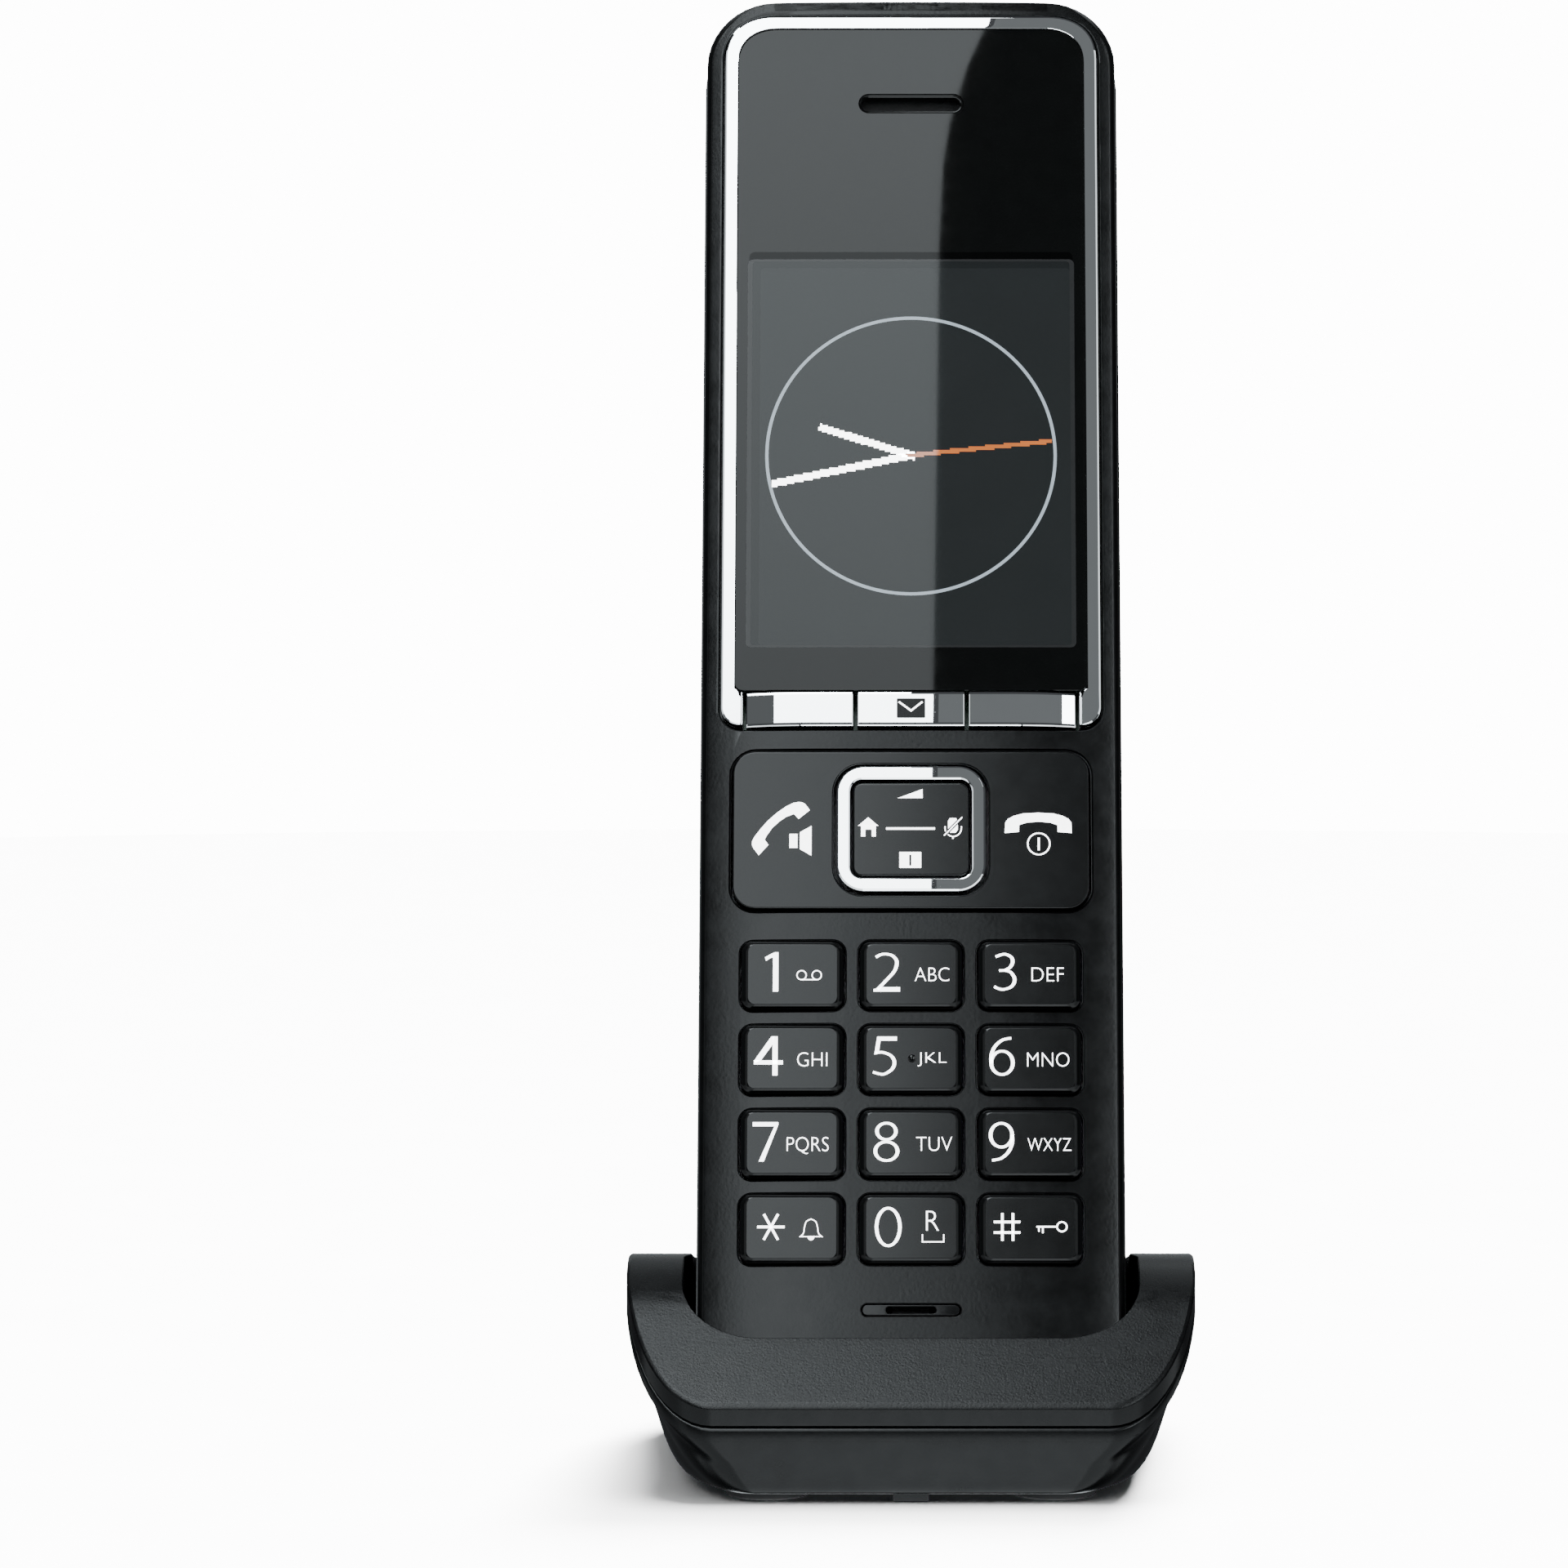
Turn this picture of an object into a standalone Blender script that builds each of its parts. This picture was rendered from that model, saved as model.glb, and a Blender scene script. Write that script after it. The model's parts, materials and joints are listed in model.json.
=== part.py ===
"""Cordless phone handset standing in its charging cradle.

Every size below is in millimetres; mesh_object() turns them into metres. The handset is modelled
upright in its own frame: X to its right, Y from its face to its back, Z from its bottom end to its
top. The empty "handset_frame" leans that frame back into the cradle. The cradle is modelled in the
frame of "cradle_frame": X to the right, Y from its front edge to its rear, Z up from the table.
"""

import math

import bmesh
import bpy
from mathutils import Matrix, Vector

MM = 0.001
GAP = 0.3  # clearance between pieces that touch on the real object
CORNER_STEPS = 4

# Handset body
LEAN = math.radians(18.5)
LENGTH = 159.0
HALF_WIDTH = 23.25
BOTTOM_THICKNESS = 15.0
GREATEST_THICKNESS = 25.0
TOP_THICKNESS = 19.0
THICKEST_AT = 108.0
PARTING = 9.0  # depth of the seam between the front and rear shells
WALL = 1.7
FACE_WALL = 2.2
BOTTOM_CORNER = (7.0, 7.0)
TOP_CORNER = (8.0, 8.5)
BODY_STATIONS = (12.0, 24.0, 36.0, 50.0, 64.0, 78.0, 92.0, 106.0, 120.0, 132.0, 144.0)
EDGE_INSET = 2.5  # width of the rounding round the face
EDGE_DEPTH = 5.0
BACK_INSET = 9.0  # width of the rounding round the back
BACK_SHARE = 0.7  # share of the rear shell's depth that this rounding takes

# Display window
FRAME_HALF = 20.6
FRAME_TOP = 155.65
FRAME_BOTTOM = 73.3
FRAME_BAND = 1.4
FRAME_PROUD = 0.45
RECESS_FLOOR = 1.3
LENS_BOTTOM = 77.55
LENS_PROUD = 0.15
WINDOW_HALF = 18.1
WINDOW_BOTTOM = 82.2
WINDOW_TOP = 127.1
EAR_SLOT = (11.5, 2.3)
EAR_SLOT_Z = 145.4

# Keys
KEY_HOLE = (11.5, 7.9)
KEY_PITCH = (12.8, 9.28)
LAST_ROW_Z = 17.62
KEY_GAP = 0.25
KEY_RADIUS = 1.35
KEY_PROUD = 0.7
KEY_BEVEL = 0.6
KEY_BOTTOM = 3.0
KEY_FLANGE = (0.5, 0.5)  # how far it stands out, and its thickness
KEY_NAMES = (
    ("key_1", "key_2", "key_3"),
    ("key_4", "key_5", "key_6"),
    ("key_7", "key_8", "key_9"),
    ("key_star", "key_0", "key_hash"),
)
SOFT_KEY = (11.75, 3.8)
SOFT_KEY_PITCH = 12.15
SOFT_KEY_Z = 75.25
SOFT_KEY_PROUD = 0.6
SOFT_KEY_NAMES = ("soft_key_left", "message_key", "soft_key_right")
PANEL = (39.3, 18.1)
PANEL_Z = 61.65
PANEL_RADIUS = 2.6
NAV_HOLE = (16.9, 14.7)
NAV_RING = (16.2, 14.0)
NAV_RING_HOLE = (13.2, 11.0)
NAV_PAD = (12.5, 10.3)
NAV_RING_PROUD = 1.0
NAV_PAD_PROUD = 0.55
NAV_BOTTOM = 1.4

# Inside the handset
MAT_FRONT = 3.9
BOARD_FRONT = 4.9
BOARD_BACK = 5.9
BAY_HALF = 11.3
BAY_BOTTOM = 50.0
BAY_TOP = 100.0
BAY_FLOOR = 9.0
CELL_RADIUS = 5.2
CELL_LENGTH = 44.5
BAY_WALL = 1.0
COVER_HALF = 16.5
COVER_BOTTOM = 38.0
COVER_TOP = 109.0
COVER_THICKNESS = 1.6
BACK_WALL = 2.3
LEDGE = (1.95, 3.4)  # depths of the ledge round the battery bay below the back
MIC_Z = 8.86
CONTACT_X = 8.0
CONTACT_Y = 6.5
SPEAKER_Z = 131.0

# Cradle
CRADLE_HALF = 30.6
CRADLE_DEPTH = 60.0
FRONT_CORNER = (9.5, 14.0)
REAR_CORNER = (12.0, 12.0)
CRADLE_STATIONS = (16.0, 18.0, 20.0, 22.0, 24.0, 30.0, 38.0, 46.0)
FRONT_EDGE_Z = 10.5
FRONT_SLOPE = math.radians(45.0)
ROLL_START = 9.6
ROLL_RADIUS = 13.4
REAR_SLOPE = math.radians(19.0)
RIM = 2.2  # height of the top cover's edge
COVER_WALL = 1.5
BASE_Z = 1.0
BASE_INSET = 5.6  # how much narrower the base is at its underside
BASE_ROUND = 8.2  # height over which its sides round in
TUB_WALL = 1.7
TUB_FLOOR = 2.4
FOOT_RADIUS = 4.7
FEET = {"foot_front_left": (-17.5, 7.2), "foot_front_right": (17.5, 7.2),
        "foot_rear_left": (-17.5, 53.5), "foot_rear_right": (17.5, 53.5)}
SCREW_AT = (18.0, 43.0)
HANDSET_AT = (5.2, 11.2)  # bottom end of the handset's face, in the cradle's frame
POCKET_HALF = 24.15
POCKET_FRONT = -0.65
POCKET_BACK = 17.6
POCKET_CORNER = (7.5, 3.0)
POCKET_FLOOR = -0.4
WELL_WALL = 1.4
ORIGIN_FROM_FRONT = 36.32  # the frame's origin is under the middle of the whole object

COLOURS = {
    "matte_black": ((0.030, 0.033, 0.036), 0.55, 0.0),
    "gloss_black": ((0.012, 0.013, 0.014), 0.12, 0.0),
    "key_black": ((0.030, 0.032, 0.034), 0.22, 0.0),
    "chrome": ((0.80, 0.80, 0.82), 0.06, 1.0),
    "lens_glass": ((0.010, 0.011, 0.012), 0.04, 0.0),
    "screen": ((0.045, 0.048, 0.050), 0.25, 0.0),
    "silicone": ((0.30, 0.31, 0.32), 0.60, 0.0),
    "circuit_board": ((0.02, 0.16, 0.06), 0.45, 0.0),
    "metal": ((0.72, 0.70, 0.66), 0.28, 1.0),
    "battery_sleeve": ((0.10, 0.30, 0.16), 0.35, 0.0),
    "rubber": ((0.020, 0.020, 0.021), 0.80, 0.0),
    "mesh_black": ((0.008, 0.008, 0.009), 0.75, 0.0),
}


# ---------------------------------------------------------------- building blocks

def material(name):
    """The Principled material of that name, made once."""
    found = bpy.data.materials.get(name)
    if found:
        return found
    colour, roughness, metallic = COLOURS[name]
    made = bpy.data.materials.new(name)
    made.use_nodes = True
    shader = made.node_tree.nodes["Principled BSDF"]
    shader.inputs["Base Color"].default_value = (*colour, 1.0)
    shader.inputs["Roughness"].default_value = roughness
    shader.inputs["Metallic"].default_value = metallic
    return made


def half_outline(half_width, low, high, low_radii, high_radii, stations=()):
    """Right half of a rounded outline, as (x, along) from its low end to its high end."""
    points = []
    for radii, centre, start in ((low_radii, low + low_radii[1], -90), (high_radii, high - high_radii[1], 0)):
        for step in range(CORNER_STEPS + 1):
            angle = math.radians(start + 90 * step / CORNER_STEPS)
            points.append((half_width - radii[0] + radii[0] * math.cos(angle),
                           centre + radii[1] * math.sin(angle)))
    middle = CORNER_STEPS + 1
    return points[:middle] + [(half_width, at) for at in stations] + points[middle:]


def whole(half):
    """The closed outline, mirrored about x = 0."""
    return half + [(-x, along) for x, along in reversed(half)]


def add_loft(bm, loops, is_ring=False):
    """Joins equal loops of points into one closed surface, its ends capped by rungs from side to side."""
    rows = [[bm.verts.new(Vector(point) * MM) for point in loop] for loop in loops]
    count = len(rows[0])
    pairs = list(zip(rows, rows[1:])) + ([(rows[-1], rows[0])] if is_ring else [])
    for first, second in pairs:
        for i in range(count):
            j = (i + 1) % count
            bm.faces.new((first[i], first[j], second[j], second[i]))
    if not is_ring:
        for row in (rows[0], rows[-1]):
            for i in range(count // 2 - 1):
                bm.faces.new((row[i], row[i + 1], row[count - 2 - i], row[count - 1 - i]))


def finish_object(name, bm, slot, parent, origin):
    """Makes the object from a bmesh, with its faces pointing out and its rounds shaded smooth."""
    bmesh.ops.recalc_face_normals(bm, faces=bm.faces)
    mesh = bpy.data.meshes.new(name)
    bm.to_mesh(mesh)
    bm.free()
    mesh.materials.append(material(slot))
    mesh.shade_smooth()
    mesh.set_sharp_from_angle(angle=math.radians(32))
    made = bpy.data.objects.new(name, mesh)
    bpy.context.scene.collection.objects.link(made)
    made.parent = parent
    made.location = Vector(origin) * MM
    return made


def mesh_object(name, lofts, slot, parent, origin=(0, 0, 0), is_ring=False):
    """One object from one or more lofts, each a list of loops in millimetres about origin."""
    bm = bmesh.new()
    for loops in lofts:
        add_loft(bm, loops, is_ring)
    return finish_object(name, bm, slot, parent, origin)


def cylinder(name, radius, length, centre, slot, parent, axis="Y", segments=20, tip_radius=None):
    """A cylinder or cone about its centre, along one axis of its parent."""
    bm = bmesh.new()
    bmesh.ops.create_cone(bm, cap_ends=True, segments=segments, radius1=radius * MM,
                          radius2=(radius if tip_radius is None else tip_radius) * MM, depth=length * MM)
    if axis == "Y":
        bmesh.ops.rotate(bm, verts=bm.verts, matrix=Matrix.Rotation(math.pi / 2, 3, "X"))
    return finish_object(name, bm, slot, parent, centre)


def block(name, low, high, slot, parent):
    """A box between two corners, its origin at its centre."""
    bm = bmesh.new()
    bmesh.ops.create_cube(bm, size=1.0)
    size = Vector(high) - Vector(low)
    bmesh.ops.scale(bm, verts=bm.verts, vec=size * MM)
    return finish_object(name, bm, slot, parent, (Vector(high) + Vector(low)) / 2)


def combine(target, tool, operation="DIFFERENCE"):
    """Adds a Boolean of a helper object, which is kept out of renders."""
    tool.hide_render = True
    tool.display_type = "WIRE"
    modifier = target.modifiers.new(tool.name, "BOOLEAN")
    modifier.operation = operation
    modifier.object = tool


def facing(size, radius, at_z, depth, centre_x=0.0, inset=0.0):
    """A rounded rectangle facing the user: its loop of (x, y, z) at one depth."""
    half_width, half_height = size[0] / 2 - inset, size[1] / 2 - inset
    corner = max(radius - inset, 0.15)
    half = half_outline(half_width, -half_height, half_height, (corner, corner), (corner, corner))
    return [(centre_x + x, depth, at_z + z) for x, z in whole(half)]


def plate(size, radius, at_z, front, back, centre_x=0.0):
    """The two loops of a flat rounded plate."""
    return [facing(size, radius, at_z, front, centre_x), facing(size, radius, at_z, back, centre_x)]


# ---------------------------------------------------------------- handset shells

def thickness(z):
    """Depth of the handset's back behind its face at height z: thin at the bottom, thickest above the middle."""
    z = min(max(z, 0.0), LENGTH)
    if z < THICKEST_AT:
        share = math.sin(0.5 * math.pi * z / THICKEST_AT) ** 1.2
        return BOTTOM_THICKNESS + (GREATEST_THICKNESS - BOTTOM_THICKNESS) * share
    fall = (z - THICKEST_AT) / (LENGTH - THICKEST_AT)
    return GREATEST_THICKNESS - (GREATEST_THICKNESS - TOP_THICKNESS) * fall ** 2


def body_loop(inset, depth, drop=0.0):
    """The body's outline, moved in by inset. A depth above 1 share of the rear is a plain Y."""
    low = tuple(max(radius - inset, 0.5) for radius in BOTTOM_CORNER)
    high = tuple(max(radius - inset, 0.5) for radius in TOP_CORNER)
    half = half_outline(HALF_WIDTH - inset, inset, LENGTH - inset, low, high, BODY_STATIONS)
    return [(x, depth(z) - drop, z) for x, z in whole(half)]


def flat(depth):
    return lambda z: depth


def rear(share):
    """Depth as a share of the way from the seam to the back."""
    return lambda z: PARTING + (thickness(z) - PARTING) * share


def front_shell(parent):
    outer = []
    for step in range(4):
        angle = math.radians(30 * step)
        outer.append(body_loop(EDGE_INSET * (1 - math.sin(angle)), flat(EDGE_DEPTH * (1 - math.cos(angle)))))
    rim = PARTING - GAP / 2
    inner = [body_loop(WALL, flat(rim)), body_loop(WALL, flat(5.5)), body_loop(3.0, flat(FACE_WALL))]
    shell = mesh_object("handset_front_shell", [outer + [body_loop(0, flat(rim))] + inner],
                        "matte_black", parent)
    through = (-1.0, FACE_WALL + 1.0)
    keys = [plate(KEY_HOLE, KEY_RADIUS, z, *through, centre_x=x) for _, x, z in key_places()]
    combine(shell, mesh_object("key_holes", keys, "matte_black", parent))
    combine(shell, mesh_object("panel_hole", [plate(PANEL, PANEL_RADIUS, PANEL_Z, *through)],
                               "matte_black", parent))
    recess = [[(x, depth, z) for x, z in whole(frame_half(-0.12, FRAME_BOTTOM - 0.12))]
              for depth in (-1.0, RECESS_FLOOR)]
    combine(shell, mesh_object("window_recess", [recess], "matte_black", parent))
    soft_slot = (3 * SOFT_KEY_PITCH + 0.1, SOFT_KEY[1] + 2 * KEY_GAP)
    window = (2 * WINDOW_HALF, WINDOW_TOP - WINDOW_BOTTOM)
    openings = [
        plate(soft_slot, 0.3, SOFT_KEY_Z, *through),
        plate(window, 0.8, (WINDOW_TOP + WINDOW_BOTTOM) / 2, *through),
        plate((EAR_SLOT[0] + 1, EAR_SLOT[1] + 1), 1.6, EAR_SLOT_Z, *through),
        plate((10.9, 1.7), 0.8, MIC_Z, *through),
    ]
    combine(shell, mesh_object("face_openings", openings, "matte_black", parent))
    for side in (-1, 1):
        notch = block(f"contact_notch_{side}", (side * CONTACT_X - 1.9, CONTACT_Y - 1.6, -1.0),
                      (side * CONTACT_X + 1.9, CONTACT_Y + 1.6, WALL + 1.0), "matte_black", parent)
        combine(shell, notch)


def back_loops(drop, angles=(90, 67.5, 45, 22.5, 0)):
    """Loops over the rounded back from its middle outwards, at a distance below it."""
    loops = []
    for angle in map(math.radians, angles):
        share = 1 - BACK_SHARE + BACK_SHARE * math.sin(angle)
        loops.append(body_loop(BACK_INSET * (1 - math.cos(angle)), rear(share), drop))
    return loops


def back_plate(name, drop, depth, half_width, low, high, parent):
    """A plate that follows the back, between two depths below it, cut to a rectangle."""
    outside, inside = back_loops(drop), back_loops(depth)
    made = mesh_object(name, [outside[:4] + inside[3::-1]], "matte_black", parent)
    region = block(f"{name}_region", (-half_width, 0, low), (half_width, 40, high), "matte_black", parent)
    combine(made, region, "INTERSECT")
    return made


def rear_shell(parent):
    rim = flat(PARTING + GAP / 2)
    inner = [body_loop(WALL, rim), body_loop(WALL, rear(0.4), 1.0),
             body_loop(5.2, rear(0.88), BACK_WALL), body_loop(9.6, rear(1.0), BACK_WALL)]
    shell = mesh_object("handset_rear_shell", [back_loops(0) + [body_loop(0, rim)] + inner],
                        "matte_black", parent)
    combine(shell, block("cover_opening", (-COVER_HALF - GAP, 9.6, COVER_BOTTOM - GAP),
                         (COVER_HALF + GAP, 40, COVER_TOP + GAP), "matte_black", parent))
    combine(shell, back_plate("ledge", *LEDGE, COVER_HALF + 3, COVER_BOTTOM - 3, COVER_TOP + 3, parent),
            "UNION")
    walls = []
    for step in range(7):
        z = BAY_BOTTOM - BAY_WALL + (BAY_TOP - BAY_BOTTOM + 2 * BAY_WALL) * step / 6
        x, low, high = BAY_HALF + BAY_WALL, BAY_FLOOR - BAY_WALL, thickness(z) - LEDGE[0] - 0.6
        walls.append([(x, low, z), (x, high, z), (-x, high, z), (-x, low, z)])
    combine(shell, mesh_object("bay_walls", [walls], "matte_black", parent), "UNION")
    combine(shell, block("bay_hollow", (-BAY_HALF, BAY_FLOOR, BAY_BOTTOM), (BAY_HALF, 40, BAY_TOP),
                         "matte_black", parent))
    slots = [plate((width, 1.3), 0.6, SPEAKER_Z + 3.2 * row, 15, 30)
             for row, width in zip(range(-2, 3), (9, 14, 16, 14, 9))]
    combine(shell, mesh_object("speaker_slots", slots, "matte_black", parent))


def battery_cover(parent):
    back_plate("battery_cover", 0, COVER_THICKNESS, COVER_HALF, COVER_BOTTOM, COVER_TOP, parent)


# ---------------------------------------------------------------- handset face

def frame_half(inset, bottom=FRAME_BOTTOM, low=0.2):
    """Right half of the chrome frame's outer outline, moved in by inset."""
    high = 6.5 - inset
    return half_outline(FRAME_HALF - inset, bottom, FRAME_TOP - inset, (low, low), (high, high),
                        (100.0, 120.0, 135.0))


def window_pieces(parent):
    back = RECESS_FLOOR - GAP
    sections = []
    for (xo, zo), (xi, zi) in zip(whole(frame_half(0)), whole(frame_half(FRAME_BAND))):
        sections.append([(xo, back, zo), (xo, -FRAME_PROUD, zo), (xi, -FRAME_PROUD, zi), (xi, back, zi)])
    mesh_object("display_frame", [sections], "chrome", parent)

    outline = whole(frame_half(FRAME_BAND + 0.1, LENS_BOTTOM, 0.6))
    glass = mesh_object("display_lens", [[[(x, depth, z) for x, z in outline]
                                          for depth in (-LENS_PROUD, RECESS_FLOOR - 0.2)]],
                        "lens_glass", parent)
    combine(glass, mesh_object("ear_slot", [plate(EAR_SLOT, EAR_SLOT[1] / 2 - 0.05, EAR_SLOT_Z, -2, 3)],
                               "matte_black", parent))

    window = (2 * WINDOW_HALF - 0.6, WINDOW_TOP - WINDOW_BOTTOM - 0.6)
    middle = (WINDOW_TOP + WINDOW_BOTTOM) / 2
    wide = (window[0] + 2.4, window[1] + 5)
    mesh_object("display_module", [[facing(window, 0.5, middle, 1.45), facing(window, 0.5, middle, 2.6),
                                    facing(wide, 0.5, middle, 2.6), facing(wide, 0.5, middle, 4.5)]],
                "screen", parent)


def key_places():
    """(name, x, z) of the twelve number keys."""
    rows = len(KEY_NAMES)
    return [(name, KEY_PITCH[0] * (column - 1), LAST_ROW_Z + KEY_PITCH[1] * (rows - 1 - row))
            for row, names in enumerate(KEY_NAMES) for column, name in enumerate(names)]


def key_loops(size, radius, proud, bevel, side_flange=KEY_FLANGE[0]):
    """Loops of a key about its centre: flange, stem and bevelled top."""
    flange = (size[0] + 2 * side_flange, size[1] + 2 * KEY_FLANGE[0])
    top_of_flange = KEY_BOTTOM - KEY_FLANGE[1]
    return [facing(flange, radius, 0, KEY_BOTTOM), facing(flange, radius, 0, top_of_flange),
            facing(size, radius, 0, top_of_flange), facing(size, radius, 0, bevel - proud),
            facing(size, radius, 0, -proud, inset=bevel)]


def keys(parent):
    size = (KEY_HOLE[0] - 2 * KEY_GAP, KEY_HOLE[1] - 2 * KEY_GAP)
    shared = None
    for name, x, z in key_places():
        if shared is None:
            made = mesh_object(name, [key_loops(size, KEY_RADIUS - KEY_GAP, KEY_PROUD, KEY_BEVEL)],
                               "key_black", parent, (x, 0, z))
            shared = made.data
        else:
            made = bpy.data.objects.new(name, shared)
            bpy.context.scene.collection.objects.link(made)
            made.parent = parent
            made.location = Vector((x, 0, z)) * MM
    for column, name in enumerate(SOFT_KEY_NAMES):
        loops = key_loops(SOFT_KEY, 0.3, SOFT_KEY_PROUD, 0.25, side_flange=0.0)
        mesh_object(name, [loops], "chrome", parent, (SOFT_KEY_PITCH * (column - 1), 0, SOFT_KEY_Z))


def navigation(parent):
    panel = (PANEL[0] - 2 * KEY_GAP, PANEL[1] - 2 * KEY_GAP)
    rocker = mesh_object("call_end_rocker", [[facing(panel, PANEL_RADIUS, 0, 1.8),
                                              facing(panel, PANEL_RADIUS, 0, -0.1),
                                              facing(panel, PANEL_RADIUS, 0, -0.3, inset=0.2)]],
                         "key_black", parent, (0, 0, PANEL_Z))
    combine(rocker, mesh_object("nav_hole", [plate(NAV_HOLE, 3.1, PANEL_Z, -2, 4)], "key_black", parent))
    bars = [facing(NAV_RING, 2.9, 0, NAV_BOTTOM), facing(NAV_RING, 2.9, 0, -0.6),
            facing(NAV_RING, 2.9, 0, -NAV_RING_PROUD, inset=0.4),
            facing(NAV_RING_HOLE, 1.2, 0, -NAV_RING_PROUD, inset=-0.15),
            facing(NAV_RING_HOLE, 1.2, 0, -0.75), facing(NAV_RING_HOLE, 1.2, 0, NAV_BOTTOM)]
    mesh_object("nav_ring", [bars], "chrome", parent, (0, 0, PANEL_Z), is_ring=True)
    mesh_object("nav_pad", [[facing(NAV_PAD, 0.9, 0, NAV_BOTTOM), facing(NAV_PAD, 0.9, 0, -0.4),
                             facing(NAV_PAD, 0.9, 0, -NAV_PAD_PROUD, inset=0.2)]],
                "key_black", parent, (0, 0, PANEL_Z))
    mesh_object("nav_carrier", [plate((12.0, 10.6), 1.0, 0, NAV_BOTTOM + 0.45, NAV_BOTTOM + 0.9)],
                "silicone", parent, (0, 0, PANEL_Z))
    mesh_object("nav_actuator", [plate((9.0, 8.0), 1.0, 0, 2.65, 3.35)], "silicone", parent, (0, 0, PANEL_Z))


def small_face_pieces(parent):
    insert = mesh_object("microphone_insert", [plate((10.4, 1.25), 0.6, MIC_Z, 0.1, 1.6)],
                         "matte_black", parent)
    combine(insert, mesh_object("mic_slot", [plate((5.4, 0.75), 0.35, MIC_Z, -1, 3)], "matte_black", parent))
    cylinder("microphone", 2.0, 1.6, (0, 3.5, MIC_Z), "metal", parent)
    mesh_object("earpiece_grille", [plate((14.0, 5.0), 1.0, EAR_SLOT_Z, 2.5, 2.8)], "mesh_black", parent)
    mesh_object("earpiece_receiver", [plate((14.0, 8.0), 2.5, EAR_SLOT_Z, 3.1, 6.0)], "metal", parent)


# ---------------------------------------------------------------- inside the handset

def coil(name, x, parent):
    """A three-turn contact spring that presses on a cell's end."""
    turns, per_turn, radius, pitch = 3, 8, 2.6, 0.95
    curve = bpy.data.curves.new(name, "CURVE")
    curve.dimensions = "3D"
    curve.bevel_depth = 0.3 * MM
    curve.bevel_resolution = 1
    curve.use_fill_caps = True
    line = curve.splines.new("POLY")
    count = turns * per_turn + 1
    line.points.add(count - 1)
    for i in range(count):
        angle = 2 * math.pi * i / per_turn
        point = Vector((radius * math.cos(angle), radius * math.sin(angle), pitch * i / per_turn)) * MM
        line.points[i].co = (*point, 1.0)
    curve.materials.append(material("metal"))
    made = bpy.data.objects.new(name, curve)
    bpy.context.scene.collection.objects.link(made)
    made.parent = parent
    made.location = Vector((x, BAY_FLOOR + GAP + CELL_RADIUS, BAY_BOTTOM + 0.65)) * MM


def inner_pieces(parent):
    mesh_object("main_board", [plate((38.0, 126.0), 2.0, 75.0, BOARD_FRONT, BOARD_BACK)],
                "circuit_board", parent)
    mesh_object("keypad_mat", [plate((39.0, 60.0), 2.0, 43.0, MAT_FRONT, BOARD_FRONT - GAP)],
                "silicone", parent)
    centre_y = BAY_FLOOR + GAP + CELL_RADIUS
    cell_low = BAY_BOTTOM + 4.1
    for side, label in ((-1, "left"), (1, "right")):
        x = side * (CELL_RADIUS + 0.25)
        cylinder(f"battery_cell_{label}", CELL_RADIUS, CELL_LENGTH, (x, centre_y, cell_low + CELL_LENGTH / 2),
                 "battery_sleeve", parent, axis="Z", segments=24)
        coil(f"battery_spring_{label}", x, parent)
        top = cell_low + CELL_LENGTH + GAP
        block(f"battery_plate_{label}", (x - 3.5, centre_y - 3.5, top), (x + 3.5, centre_y + 3.5, top + 0.5),
              "metal", parent)
        contact_x = side * CONTACT_X
        block(f"charge_contact_{label}", (contact_x - 1.6, CONTACT_Y - 1.3, 0.15),
              (contact_x + 1.6, CONTACT_Y + 1.3, 1.5), "metal", parent)
    cylinder("hands_free_speaker", 8.5, 4.5, (0, 17.6, SPEAKER_Z), "metal", parent, segments=28)


# ---------------------------------------------------------------- cradle

def profile(y):
    """Height of the cradle's top over the table: a slope up from the front, a roll over, a slope down."""
    slope = math.tan(FRONT_SLOPE)
    start_z = FRONT_EDGE_Z + ROLL_START * slope
    centre = (ROLL_START + ROLL_RADIUS * math.sin(FRONT_SLOPE), start_z - ROLL_RADIUS * math.cos(FRONT_SLOPE))
    end = centre[0] + ROLL_RADIUS * math.sin(REAR_SLOPE)
    if y < ROLL_START:
        return FRONT_EDGE_Z + y * slope
    if y < end:
        return centre[1] + math.sqrt(ROLL_RADIUS ** 2 - (y - centre[0]) ** 2)
    return centre[1] + ROLL_RADIUS * math.cos(REAR_SLOPE) - (y - end) * math.tan(REAR_SLOPE)


def plan(inset, share=1.0):
    """Outline of the cradle seen from above, moved in. A share below 1 narrows it towards the underside."""
    narrow = BASE_INSET * (1 - share)
    half_width = CRADLE_HALF - narrow - inset
    front = 0.9 * (1 - share) + inset
    low = (max(FRONT_CORNER[0] - inset, 1.0), FRONT_CORNER[1] - inset)
    high = (max(REAR_CORNER[0] - inset, 1.0), max(REAR_CORNER[1] - inset, 1.0))
    back = CRADLE_DEPTH - 1.2 * (1 - share) - inset
    return whole(half_outline(half_width, front, back, low, high, CRADLE_STATIONS))


def under_top(outline, drop):
    """Points on an outline, a distance below the cradle's top."""
    return [(x, y, profile(y) - drop) for x, y in outline]


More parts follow.
